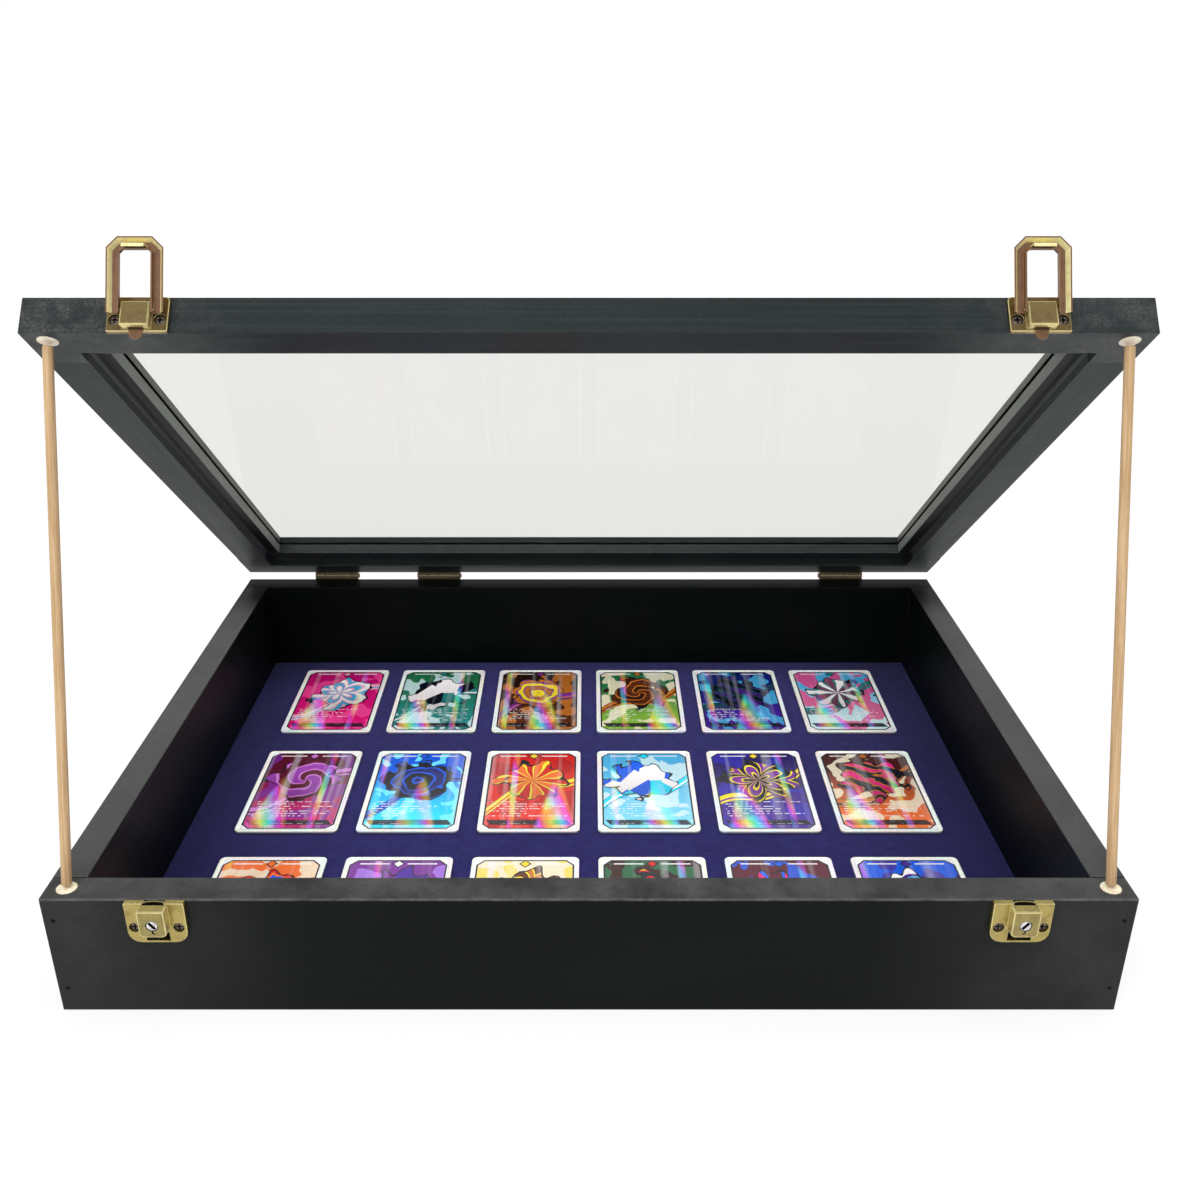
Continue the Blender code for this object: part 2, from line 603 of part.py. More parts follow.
def build_lid_plate(name, brass, parent, home):
    """Make a lid plate: a pressed pan with a boss, a tongue, screw cups and the bail's stubs."""
    shape = bmesh.new()
    outline = rounded(LID_PLATE_HALF, LID_PLATE_LOW, LID_PLATE_HIGH, LID_PLATE_CORNER / 4, LID_PLATE_CORNER)
    front = prism(shape, outline, PLATE_BACK_GAP, LID_PAN_DEPTH)
    edges = [edge for face in front for edge in face.edges]
    bmesh.ops.bevel(shape, geom=edges, offset=SHEET / 2, segments=1, profile=ROUND_PROFILE, affect="EDGES")
    plate = solid(name, shape, brass, parent, home)
    boss = rounded(LID_BOSS_HALF, LID_BOSS_LOW, LID_BOSS_HIGH, BOSS_EASE, BOSS_EASE)
    fuse(plate, eased_boss(boss, LID_PAN_DEPTH - SHEET / 2, LID_BOSS_OUT, BOSS_EASE))
    hollow = bmesh.new()
    prism(hollow, rounded(LID_PLATE_HALF - SHEET, LID_PLATE_LOW + SHEET, LID_PLATE_HIGH - SHEET,
                          LID_PLATE_CORNER / 4, LID_PLATE_CORNER - SHEET), -OVERRUN, LID_PAN_DEPTH - SHEET)
    cut(plate, hollow)
    hollow = bmesh.new()
    prism(hollow, rounded(LID_BOSS_HALF - SHEET, LID_BOSS_LOW + SHEET, LID_BOSS_HIGH - SHEET,
                          BOSS_EASE / 2, BOSS_EASE / 2), -OVERRUN / 2, LID_BOSS_OUT - SHEET)
    cut(plate, hollow)
    notch = TONGUE_OUT + SHEET / 2
    cut(plate, box((-TONGUE_NOTCH_HALF, -notch - TONGUE_NOTCH_DEPTH, LID_PLATE_LOW - OVERRUN),
                   (TONGUE_NOTCH_HALF, -notch, LID_BOSS_LOW + 2 * SHEET)))
    screws = ((-LID_SCREW_X, LID_SCREW_HEIGHT), (LID_SCREW_X, LID_SCREW_HEIGHT))
    joined = screw_cups(screws, LID_PAN_DEPTH)
    prism(joined, rounded(TONGUE_HALF, -TONGUE_DROP, LID_BOSS_LOW + 2 * SHEET, TONGUE_HALF, SHEET / 4),
          TONGUE_OUT, TONGUE_OUT + SHEET)
    for side in (-1, 1):
        start = side * (LID_BOSS_HALF - SHEET / 2)
        end = side * (BAIL_HALF_OPENING + SHEET + FIT)
        turned(joined, rod_profile(PIVOT_STUB_RADIUS, min(start, end), max(start, end)),
               along_x(0.0, -BAIL_PIVOT_OUT, BAIL_PIVOT_HEIGHT), SMALL_ROUND_STEPS)
    fuse(plate, joined)
    cut(plate, screw_bores(screws, LID_PAN_DEPTH))
    return screws


def build_lock_plate(name, side, brass, parent, home):
    """Make a lock plate: a pan with a hollow boss, a keyhole, a tongue slot and a slot for the lip."""
    shape = bmesh.new()
    outline = rounded(LOCK_PLATE_HALF, -LOCK_PLATE_DROP, -LOCK_PLATE_TOP,
                      LOCK_PLATE_CORNER, LOCK_PLATE_TOP_CORNER)
    front = prism(shape, outline, PLATE_BACK_GAP, LOCK_PAN_DEPTH)
    edges = [edge for face in front for edge in face.edges]
    bmesh.ops.bevel(shape, geom=edges, offset=SHEET / 2, segments=1, profile=ROUND_PROFILE, affect="EDGES")
    plate = solid(name, shape, brass, parent, home)
    boss = rounded(LOCK_BOSS_HALF, -LOCK_BOSS_DROP, -LOCK_BOSS_TOP, LOCK_BOSS_CORNER, BOSS_EASE)
    fuse(plate, eased_boss(boss, LOCK_PAN_DEPTH - SHEET / 2, LOCK_BOSS_OUT, BOSS_EASE))
    hollow = bmesh.new()
    prism(hollow, rounded(LOCK_PLATE_HALF - SHEET, SHEET - LOCK_PLATE_DROP, -LOCK_PLATE_TOP - SHEET,
                          LOCK_PLATE_CORNER - SHEET, LOCK_PLATE_TOP_CORNER / 2),
          -OVERRUN, LOCK_PAN_DEPTH - SHEET)
    cut(plate, hollow)
    hollow = bmesh.new()
    prism(hollow, rounded(LOCK_BOSS_HALF - SHEET, SHEET - LOCK_BOSS_DROP, -LOCK_BOSS_TOP - SHEET,
                          LOCK_BOSS_CORNER - SHEET, BOSS_EASE / 2), -OVERRUN / 2, LOCK_BOSS_OUT - SHEET)
    cut(plate, hollow)
    screws = ((-LOCK_SCREW_X, -LOCK_SCREW_DROP), (LOCK_SCREW_X, -LOCK_SCREW_DROP))
    fuse(plate, screw_cups(screws, LOCK_PAN_DEPTH))
    cut(plate, screw_bores(screws, LOCK_PAN_DEPTH))
    # The top flange is open in the middle, and an arched strip crosses the opening behind the slot
    cut(plate, box((-FLANGE_GAP_HALF, -LOCK_PAN_DEPTH - SHEET / 4, -LOCK_PLATE_TOP - 2 * SHEET),
                   (FLANGE_GAP_HALF, OVERRUN, OVERRUN)))
    arch = []
    for step in range(ARCH_STEPS + 1):
        share = 2 * step / ARCH_STEPS - 1
        arch.append((share * ARCH_HALF, ARCH_FOOT_OUT - ARCH_RISE * (1 - share ** 2)))
    strip = bmesh.new()
    edge_points = arch + [(x, out + SHEET / 2) for x, out in reversed(arch)]
    face = strip.faces.new([strip.verts.new((x, -out, -LOCK_PLATE_TOP - SHEET)) for x, out in edge_points])
    grown = bmesh.ops.extrude_face_region(strip, geom=[face])["geom"]
    moved = [item for item in grown if isinstance(item, bmesh.types.BMVert)]
    bmesh.ops.translate(strip, verts=moved, vec=(0.0, 0.0, SHEET))
    fuse(plate, strip)
    keyhole = bmesh.new()
    front_low, front_high = LOCK_BOSS_OUT - 2 * SHEET, LOCK_BOSS_OUT + OVERRUN
    turned(keyhole, rod_profile(CYLINDER_RADIUS + RUNNING, front_low, front_high),
           facing_out(0.0, -CYLINDER_DROP))
    cut(plate, keyhole)
    half, centre = NOTCH_WIDTH / 2, -CYLINDER_DROP
    foot = centre - NOTCH_DROP
    points = [(-half, centre), (-half, foot), (NOTCH_FOOT - half, foot),
              (NOTCH_FOOT - half, foot + NOTCH_WIDTH), (half, foot + NOTCH_WIDTH), (half, centre)]
    notch = bmesh.new()
    prism(notch, [(-side * x, z) for x, z in points], front_low, front_high)
    cut(plate, notch)
    slot_top = -LOCK_BOSS_DROP - LIP_SLOT_GAP
    cut(plate, box((-LIP_SLOT_HALF, -LOCK_PAN_DEPTH - OVERRUN, slot_top - LIP_SLOT_HEIGHT),
                   (LIP_SLOT_HALF, -PLATE_BACK_GAP - SHEET, slot_top)))
    return screws


def build_lock_cylinder(name, side, steel, place):
    """Make a lock cylinder with its keyway in front and the cam on its tail, about its own axis."""
    front = LOCK_BOSS_OUT - CYLINDER_RECESS
    shape = bmesh.new()
    turned(shape, [(0.0, CAM_OUT + CAM_THICKNESS / 2), (CYLINDER_RADIUS, CAM_OUT + CAM_THICKNESS / 2),
                   (CYLINDER_RADIUS, front - RUNNING), (CYLINDER_RADIUS - RUNNING, front), (0.0, front)],
           facing_out(0.0, 0.0))
    cylinder = solid(name, shape, steel, None, place)
    centre = CAM_REACH - CAM_HALF_WIDTH
    cam = [(0.0, CAM_HALF_WIDTH), (0.0, -CAM_HALF_WIDTH)]
    for step in range(2 * CORNER_STEPS + 1):
        angle = -math.pi / 2 + math.pi * step / (2 * CORNER_STEPS)
        cam.append((centre + CAM_HALF_WIDTH * math.cos(angle), CAM_HALF_WIDTH * math.sin(angle)))
    tail = bmesh.new()
    prism(tail, [(-side * x, z) for x, z in cam], CAM_OUT, CAM_OUT + CAM_THICKNESS)
    fuse(cylinder, tail)
    keyway = bmesh.new()
    add_box(keyway, (-KEYWAY_WIDTH / 2, -front - OVERRUN, -KEYWAY_HEIGHT / 2),
            (KEYWAY_WIDTH / 2, KEYWAY_DEPTH - front, KEYWAY_HEIGHT / 2))
    turn = Matrix.Rotation(side * KEYWAY_TURN, 3, "Y")
    bmesh.ops.rotate(keyway, verts=keyway.verts, cent=(0, 0, 0), matrix=turn)
    cut(cylinder, keyway)


def bail_section():
    """Give the channel that the bail is pressed to, from its inner wall to its flared rim."""
    face_end = BAIL_ROUND + BAIL_FACE_WIDTH - BAIL_FLARE / 2
    rim = BAIL_ROUND + BAIL_FACE_WIDTH + BAIL_FLARE / 2
    outside = [(0.0, 0.0), (0.0, BAIL_DEPTH - BAIL_ROUND), (BAIL_ROUND, BAIL_DEPTH),
               (face_end, BAIL_DEPTH), (rim, SHEET / 2), (rim, 0.0)]
    inside = [(rim - SHEET, 0.0), (face_end - SHEET / 2, BAIL_DEPTH - SHEET),
              (BAIL_ROUND + SHEET / 3, BAIL_DEPTH - SHEET),
              (SHEET, BAIL_DEPTH - BAIL_ROUND - SHEET / 3), (SHEET, 0.0)]
    return outside + inside


def bail_route():
    """Give the inner edge of the bail, hanging, as places and outward ways to offset each."""
    half, end, chamfer = BAIL_HALF_OPENING, -BAIL_BAR_DROP, BAIL_INNER_CHAMFER
    right = [(half, BAIL_HEEL), (half, end + chamfer), (half - chamfer, end)]
    places = right + [(-x, z) for x, z in reversed(right)]
    ways = []
    for index, place in enumerate(places):
        normals = []
        for first, second in ((index - 1, index), (index, index + 1)):
            if first >= 0 and second < len(places):
                run = Vector(places[second]) - Vector(places[first])
                normals.append(Vector((-run.y, run.x)).normalized())
        total = sum(normals, Vector((0.0, 0.0)))
        ways.append(total * (len(normals) / total.length_squared))
    return list(zip(places, ways))


def build_bail(name, brass, holder):
    """Make a bail, hanging from its pivot: a pressed frame with a hooked lip on its end bar."""
    section = bail_section()
    stations = []
    for (x, z), way in bail_route():
        stations.append([Vector((x + way.x * width, BAIL_BACK - height, z + way.y * width))
                         for width, height in section])
    shape = bmesh.new()
    face = shape.faces.new([shape.verts.new(point) for point in stations[0]])
    for number, (before, after) in enumerate(zip(stations, stations[1:])):
        grown = bmesh.ops.extrude_face_region(shape, geom=[face])["geom"]
        if number > 0:
            shape.faces.remove(face)
        face = next(item for item in grown if isinstance(item, bmesh.types.BMFace))
        for vert in face.verts:
            nearest = min(range(len(before)), key=lambda index: (vert.co - before[index]).length)
            vert.co = after[nearest]
    bail = solid(name, shape, brass, holder)
    # The lip reaches in below the cam, and its hook stands behind the cam
    hook_out, root_out = BAIL_LIP_OUT - BAIL_PIVOT_OUT, BAIL_DEPTH - BAIL_BACK - SHEET / 2
    high = -LID_GAP - BAIL_PIVOT_HEIGHT - CYLINDER_DROP - CAM_REACH - RUNNING
    low, hook_high = high - SHEET, high + BAIL_HOOK_HEIGHT
    lip = bmesh.new()
    side_prism(lip, [(hook_out, low), (root_out, low), (root_out, high), (hook_out + SHEET, high),
                     (hook_out + SHEET, hook_high), (hook_out, hook_high)], -BAIL_LIP_HALF, BAIL_LIP_HALF)
    fuse(bail, lip)
    for side in (-1, 1):
        hole = bmesh.new()
        start, end = BAIL_HALF_OPENING - OVERRUN / 2, BAIL_HALF_OPENING + 2 * SHEET
        ends = (side * start, side * end)
        turned(hole, rod_profile(PIVOT_HOLE_RADIUS, min(ends), max(ends)), along_x(0, 0, 0),
               SMALL_ROUND_STEPS)
        cut(bail, hole)


def build_latches(brass, bronze, steel, panels, rails, lid_axis):
    """Make both latches: lid plate, bail, lock plate, cylinder and their screws."""
    for name, side in (("left", -1), ("right", 1)):
        x = side * LATCH_X
        lid_home = Vector((x, -HALF_DEPTH, LID_UNDERSIDE)) - HINGE_AXIS
        screws = build_lid_plate(f"lid_plate_{name}", brass, lid_axis, lid_home)
        for number, (screw_x, height) in enumerate(screws, start=1):
            build_screw(f"lid_screw_{name}_{number}", x + screw_x, LID_UNDERSIDE + height, bronze,
                        rails["lid_front_rail"], lid_axis, -HINGE_AXIS)
        pivot = lid_home + Vector((0.0, -BAIL_PIVOT_OUT, BAIL_PIVOT_HEIGHT))
        holder = empty(f"bail_{name}_axis", pivot, lid_axis, -BAIL_SWING)
        build_bail(f"bail_{name}", brass, holder)
        rim = Vector((x, -HALF_DEPTH, CASE_HEIGHT))
        screws = build_lock_plate(f"lock_plate_{name}", side, brass, None, rim)
        for number, (screw_x, height) in enumerate(screws, start=1):
            build_screw(f"lock_screw_{name}_{number}", x + screw_x, CASE_HEIGHT + height, bronze,
                        panels["front_panel"], None, Vector())
        build_lock_cylinder(f"lock_cylinder_{name}", side, steel, rim - Vector((0.0, 0.0, CYLINDER_DROP)))


def main():
    """Build the display case."""
    clear_scene()
    wood = material("black_painted_wood", (0.035, 0.038, 0.037), 0.45)
    felt = material("indigo_felt", (0.03, 0.022, 0.14), 0.95)
    bare_wood = material("bare_birch", (0.80, 0.58, 0.34), 0.6)
    glass = material("clear_glass", (0.92, 0.94, 0.94), 0.03, alpha=0.2)
    brass = material("polished_brass", (0.72, 0.56, 0.25), 0.25, 1.0)
    steel = material("nickelled_steel", (0.62, 0.61, 0.60), 0.25, 1.0)
    bronze = material("dark_bronze", (0.16, 0.12, 0.09), 0.4, 1.0)
    foil = material("printed_foil", (0.45, 0.40, 0.55), 0.25, 0.6)
    lid_axis = empty("lid_axis", HINGE_AXIS, turn=-LID_OPEN)
    panels = build_case(wood, felt)
    build_cards(foil)
    rails = build_lid(wood, glass, lid_axis)
    build_seats(bare_wood, panels, rails, lid_axis)
    build_rods(bare_wood)
    build_hinges(brass, steel, lid_axis)
    build_latches(brass, bronze, steel, panels, rails, lid_axis)


main()
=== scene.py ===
"""Looks of a black wooden display case with a propped glass lid, built around its CAD frame."""

import json
import logging
import math
from collections.abc import Callable
from dataclasses import dataclass, replace
from enum import Enum

import bmesh
import bpy
from mathutils import Matrix, Vector

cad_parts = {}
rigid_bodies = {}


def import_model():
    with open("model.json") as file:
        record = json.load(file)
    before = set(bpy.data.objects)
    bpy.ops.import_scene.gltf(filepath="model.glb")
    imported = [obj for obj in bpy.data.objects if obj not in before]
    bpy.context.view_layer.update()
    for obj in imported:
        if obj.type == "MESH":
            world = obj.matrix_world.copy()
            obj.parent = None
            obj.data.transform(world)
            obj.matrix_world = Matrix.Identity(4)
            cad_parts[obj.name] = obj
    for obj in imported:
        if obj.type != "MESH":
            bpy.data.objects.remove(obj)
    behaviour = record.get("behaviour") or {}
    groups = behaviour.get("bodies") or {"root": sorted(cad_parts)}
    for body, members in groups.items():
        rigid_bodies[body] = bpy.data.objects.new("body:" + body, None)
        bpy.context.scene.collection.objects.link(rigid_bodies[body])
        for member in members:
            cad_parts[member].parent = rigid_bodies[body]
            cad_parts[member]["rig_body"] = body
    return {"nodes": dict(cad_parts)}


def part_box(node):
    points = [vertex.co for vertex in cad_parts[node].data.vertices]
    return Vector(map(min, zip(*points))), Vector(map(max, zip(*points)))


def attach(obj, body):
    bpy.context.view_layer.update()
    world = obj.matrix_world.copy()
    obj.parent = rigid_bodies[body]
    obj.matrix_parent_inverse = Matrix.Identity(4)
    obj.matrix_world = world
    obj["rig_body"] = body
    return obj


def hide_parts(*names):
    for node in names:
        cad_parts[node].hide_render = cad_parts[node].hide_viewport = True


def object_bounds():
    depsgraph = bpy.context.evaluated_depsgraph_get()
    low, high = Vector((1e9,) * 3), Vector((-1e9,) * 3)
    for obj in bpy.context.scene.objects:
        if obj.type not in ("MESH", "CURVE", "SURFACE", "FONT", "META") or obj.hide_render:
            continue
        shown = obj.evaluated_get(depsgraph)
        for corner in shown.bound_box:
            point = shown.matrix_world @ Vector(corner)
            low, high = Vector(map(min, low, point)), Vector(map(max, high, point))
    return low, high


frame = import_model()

LOG = logging.getLogger("display_case")
CAD_BOX = [list(corner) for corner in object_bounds()]

Triple = tuple[float, float, float]
Colour = Triple
Trio = tuple[Colour, Colour, Colour]
Stops = list[tuple[float, Colour]]
Socket = bpy.types.NodeSocket
Value = Socket | float
Paint = Socket | Colour
World = bpy.types.World
Shape = bmesh.types.BMesh
Piece = bpy.types.Object
Finish = bpy.types.Material
Facet = bmesh.types.BMFace

ORIGIN: Triple = (0.0, 0.0, 0.0)
LID_LEAN = math.radians(39.0)
CASE_FRONT = Vector((0.0, -1.0, 0.0))
LID_FRONT = Vector((0.0, -math.cos(LID_LEAN), math.sin(LID_LEAN)))
PROP_LEAN = math.radians(19.5)
SIDES = ("left", "right")
# How near corners are joined, and how far faces turn at an edge that is flat, sharp or beside a broad face.
MERGE_WITHIN = 2e-6
FLAT_BELOW = math.radians(0.6)
SHARP_ABOVE = math.radians(24)
EASED_ABOVE = math.radians(5)
BROAD_TIMES = 5.0
# How deep a turned piece's crown reaches, and one streak of a seat's grain, in metres.
CROWN_DEPTH = 0.0012
SEAT_GRAIN = (0.0012, 0.0012, 0.02)
# How far a face turns to a direction, as the cosine between them.
BACKWARD, SIDEWAYS, SLOPING, FORWARD = -0.2, 0.2, 0.6, 0.95


def tone(red: int, green: int, blue: int) -> Colour:
    """Turns a colour as it is seen on screen, 0 to 255, into the linear one that a shader takes."""
    def linear(value: int) -> float:
        """Undoes the screen curve for one channel."""
        part = value / 255
        return part / 12.92 if part <= 0.04045 else ((part + 0.055) / 1.055) ** 2.4
    return linear(red), linear(green), linear(blue)


class Tree:
    """The node tree of one material, or of the world, written down as nested calls."""

    def __init__(self, name: str, colour: Colour = ORIGIN, owner: World | None = None) -> None:
        """Starts an empty tree of that colour, in a new material unless its owner is given."""
        self.owner = owner or bpy.data.materials.new(name)
        self.owner.use_nodes = True
        self.nodes, self.links = self.owner.node_tree.nodes, self.owner.node_tree.links
        self.nodes.clear()
        self.colour: Paint = colour

    def add(self, kind: str, inputs: dict[str | int, object], **settings: object) -> bpy.types.Node:
        """Adds a node and fills its inputs.

        Args:
            kind: the node's type, without the words ShaderNode.
            inputs: a socket or a plain value for each input, by name or number.
            **settings: the node's own options.

        Returns:
            The new node.
        """
        node = self.nodes.new(f"ShaderNode{kind}")
        for key, value in settings.items():
            setattr(node, key, value)
        for key, value in inputs.items():
            if isinstance(value, Socket):
                self.links.new(value, node.inputs[key])
            elif isinstance(value, tuple) and len(value) == 3 and node.inputs[key].type == "RGBA":
                node.inputs[key].default_value = (*value, 1.0)
            else:
                node.inputs[key].default_value = value
        return node

    def math(self, kind: str, first: Value, second: Value = 0.0, third: Value = 0.0) -> Socket:
        """Adds a Math node of that kind and returns its result."""
        return self.add("Math", {0: first, 1: second, 2: third}, operation=kind).outputs[0]

    def product(self, *factors: Value) -> Socket:
        """Multiplies several masks or numbers together."""
        result = factors[0]
        for factor in factors[1:]:
            result = self.math("MULTIPLY", result, factor)
        return result

    def band(self, value: Socket, low: float, high: float, soft: float) -> Socket:
        """Makes a mask that is 1 between two limits and fades over a soft width inside each."""
        return self.product(self.rise(value, low, low + soft), self.rise(value, high, high - soft))

    def rise(self, value: Socket, start: float, end: float) -> Socket:
        """Makes a mask that goes smoothly from 0 at start to 1 at end."""
        return self.add("MapRange", {"Value": value, "From Min": start, "From Max": end},
                        interpolation_type="SMOOTHSTEP", clamp=True).outputs[0]

    def spread(self, value: Socket, start: float, end: float, low: float, high: float) -> Socket:
        """Maps a value between start and end to one between low and high."""
        return self.add("MapRange", {"Value": value, "From Min": start, "From Max": end,
                                     "To Min": low, "To Max": high}, clamp=True).outputs[0]

    def place(self, size: Triple, centre: Vector | Triple = ORIGIN, lean: float = 0.0) -> Socket:
        """Gives coordinates on the piece, in units of that size, from a centre and leant about X."""
        return self.add("Mapping", {
            "Vector": self.add("TexCoord", {}).outputs["Object"], "Location": tuple(centre),
            "Rotation": (lean, 0.0, 0.0), "Scale": size}, vector_type="TEXTURE").outputs[0]

    def noise(self, where: Socket, detail: float = 4.0, rough: float = 0.6, bend: float = 0.0) -> Socket:
        """Adds cloudy noise of about one unit and returns its value."""
        return self.add("TexNoise", {"Vector": where, "Scale": 1.0, "Detail": detail,
                                     "Roughness": rough, "Distortion": bend}).outputs[0]

    def cloud(self, size: float, detail: float = 3.0, rough: float = 0.6, bend: float = 0.0) -> Socket:
        """Adds cloudy noise of that size in metres, alike in every direction."""
        return self.noise(self.place((size,) * 3), detail, rough, bend)

    def mix(self, factor: Value, under: Paint, over: Paint, way: str = "MIX") -> Socket:
        """Lays one colour over another, as far as the factor lets it show, and returns the mixed one."""
        return self.add("Mix", {0: factor, 6: under, 7: over}, data_type="RGBA", blend_type=way).outputs[2]

    def lay(self, over: Paint, *masks: Value) -> None:
        """Lays a colour over the tree's own, as far as all the masks let it show."""
        self.colour = self.mix(self.product(*masks), self.colour, over)

    def ramp(self, value: Socket, stops: Stops, hard: bool = False) -> Socket:
        """Colours a value by a row of stops.

        Args:
            value: the value, from 0 to 1.
            stops: places and colours, in order.
            hard: whether one colour steps straight to the next.

        Returns:
            The colour.
        """
        node = self.add("ValToRGB", {"Fac": value})
        ramp = node.color_ramp
        ramp.interpolation = "CONSTANT" if hard else "LINEAR"
        while len(ramp.elements) < len(stops):
            ramp.elements.new(1.0)
        for element, (where, colour) in zip(ramp.elements, stops):
            element.position, element.color = where, (*colour, 1.0)
        return node.outputs[0]

    def axis(self, number: int) -> Socket:
        """Gives the place on the piece along X, Y or Z, in metres."""
        return self.add("SeparateXYZ", {0: self.add("TexCoord", {}).outputs["Object"]}).outputs[number]

    def reach(self, across: Socket, up: Socket) -> Socket:
        """Gives the distance from the middle of a place that lies so far across and up."""
        return self.math("SQRT", self.math("ADD", self.product(across, across), self.product(up, up)))

    def eased(self, radius: float) -> Socket:
        """Gives the normal that a small round on every sharp edge would have."""
        return self.add("Bevel", {"Radius": radius}, samples=6).outputs[0]

    def edges(self, eased: Socket, low: float = 0.03, high: float = 0.25) -> Socket:
        """Makes a mask of the sharp edges from their eased normal: worn paint on the wood, and wear with a
        painted highlight on the metal.
        """
        true = self.add("NewGeometry", {}).outputs["True Normal"]
        alike = self.add("VectorMath", {0: eased, 1: true}, operation="DOT_PRODUCT").outputs["Value"]
        return self.rise(self.math("SUBTRACT", 1.0, alike), low, high)

    def bump(self, height: Socket, depth: float, strength: float = 1.0, *under: Socket) -> Socket:
        """Turns a height into relief of that depth, on top of other relief, and returns the normal."""
        inputs = {"Height": height, "Distance": depth, "Strength": strength}
        return self.add("Bump", inputs | {"Normal": normal for normal in under}).outputs[0]

    def close(self, shader: bpy.types.Node, end: str = "OutputMaterial") -> Finish | World:
        """Joins the last shader to the output and returns the tree's owner."""
        self.add(end, {"Surface": shader.outputs[0]})
        return self.owner

    def surface(self, rough: Value, **inputs: Value) -> Finish:
        """Ends the tree in a surface of its own colour.

        Args:
            rough: how rough it is.
            **inputs: the shader's other inputs, by name with _ for each space.

        Returns:
            The material.
        """
        named = {name.replace("_", " "): value for name, value in inputs.items()}
        named |= {"Base Color": self.colour, "Roughness": rough}
        return self.close(self.add("BsdfPrincipled", named))


class Grain(Enum):
    """Which way the wood's grain runs, as the length of one streak along X, Y and Z in metres."""

    ACROSS = (0.16, 0.0035, 0.0018)
    BACKWARDS = (0.0035, 0.16, 0.0018)


@dataclass(frozen=True)
class WearAndLightPatch:
    """A patchy colour laid over part of the paint: wear in some places, painted light and shade in others.

    Each limit holds an axis, 0 to 2, where the patch starts along it and where it is full, in metres.
    Patch is the size of its patches, least is how much shows between them, where less than 0 leaves
    wider gaps, and speckle is the share that fine specks take away.
    """

    limits: tuple[tuple[int, float, float], ...]
    colour: Colour
    strength: float
    patch: float = 0.02
    least: float = 0.35
    speckle: float = 0.0

    def lay(self, tree: Tree) -> None:
        """Lays the colour over the paint, in uneven patches of fine speckle."""
        uneven = tree.spread(tree.cloud(self.patch, 4.0, 0.65), 0.34, 0.62, self.least, 1.0)
        fine = tree.spread(tree.cloud(0.0011, 3.0, 0.65), 0.38, 0.6, 1.0 - self.speckle, 1.0)
        reach = [tree.rise(tree.axis(axis), start, full) for axis, start, full in self.limits]
        tree.lay(self.colour, uneven, fine, self.strength, *reach)


@dataclass(frozen=True)
class PaintedWood:
    """Black satin paint with the grain and the brush showing faintly through it."""

    name: str
    ground: Colour
    streak: Colour
    worn: Colour
    grain: Grain
    wear_and_light: tuple[WearAndLightPatch, ...] = ()
    lean: float = 0.0
    figure: float = 0.35
    leather: float = 0.12
    ripple: float = 0.00003
    mirror: float = 0.09
    edge: float = 0.0012
    sheen: float = 0.4

    def make(self) -> Finish:
        """Builds the paint's material."""
        tree = Tree(self.name, self.ground)
        size = self.grain.value
        fibres = tree.noise(tree.place(size, lean=self.lean), 7.0, 0.62, 0.25)
        pores = tree.noise(tree.place(tuple(part / 5 for part in size), lean=self.lean), 3.0, 0.6)
        clouds = tree.noise(tree.place((0.11, 0.11, 0.07)), 3.0, 0.5)
        leather = tree.cloud(0.0013)
        tree.lay(self.streak, tree.rise(fibres, 0.42, 0.68), self.figure)
        tree.lay(self.streak, tree.rise(clouds, 0.35, 0.7), 0.4)
        for wear_and_light_patch in self.wear_and_light:
            wear_and_light_patch.lay(tree)
        mottle = tree.spread(leather, 0.32, 0.68, 1.0 - self.leather, 1.0 + self.leather)
        tree.colour = tree.mix(1.0, tree.colour, mottle, "MULTIPLY")
        chips = tree.cloud(0.005, 4.0, 0.7)
        tree.lay(self.worn, tree.edges(tree.eased(self.edge)), tree.rise(chips, 0.36, 0.56), 0.9)
        gloss = tree.spread(tree.math("ADD", fibres, tree.product(leather, 0.35)), 0.4, 0.95,
                            self.sheen - 0.07, self.sheen + 0.1)
        relief = tree.bump(tree.math("ADD", fibres, tree.product(pores, 0.5)), self.ripple)
        relief = tree.bump(leather, 0.00004, 0.6, relief)
        return tree.surface(gloss, Normal=relief, Specular_IOR_Level=self.mirror)


@dataclass(frozen=True)
class BareWood:
    """Pale turned birch with fine lengthwise lines."""

    name: str
    pale: Colour
    dark: Colour
    grain: Triple
    lean: float = 0.0

    def make(self) -> Finish:
        """Builds the wood's material."""
        tree = Tree(self.name, self.pale)
        lines = tree.noise(tree.place(self.grain, lean=self.lean), 5.0, 0.6)
        slow = tree.noise(tree.place(tuple(part * 2.5 for part in self.grain), lean=self.lean), 2.0, 0.5)
        tree.lay(self.dark, tree.rise(lines, 0.38, 0.66))
        tree.lay(self.dark, tree.rise(slow, 0.45, 0.7), 0.5)
        return tree.surface(tree.spread(lines, 0.3, 0.7, 0.5, 0.68), Normal=tree.bump(lines, 0.00008, 0.8))


@dataclass(frozen=True)
class Felt:
    """Dense short-haired cloth with a soft mottle, and painted shade along the side walls."""

    name: str
    dark: Colour
    light: Colour
    shade: Colour
    reach: float

    def make(self) -> Finish:
        """Builds the cloth's material."""
        tree = Tree(self.name, self.dark)
        hairs = tree.product(tree.cloud(0.0011, 4.0, 0.75, 0.6), 0.45)
        worn = tree.math("ADD", hairs, tree.product(tree.cloud(0.006, 5.0, 0.65), 0.55))
        tree.lay(self.light, tree.rise(worn, 0.36, 0.64))
        # Painted shade: the felt is laid darker towards each side wall.
        for wall in (-self.reach, self.reach):
            tree.lay(self.shade, tree.rise(tree.axis(0), wall / 2, wall), 0.6)
        tree.lay(self.dark, tree.rise(tree.cloud(0.08, 2.0, 0.5), 0.4, 0.7), 0.3)
        return tree.surface(0.95, Normal=tree.bump(worn, 0.0005, 0.8), Sheen_Weight=0.25,
                            Sheen_Roughness=0.4, Specular_IOR_Level=0.15)


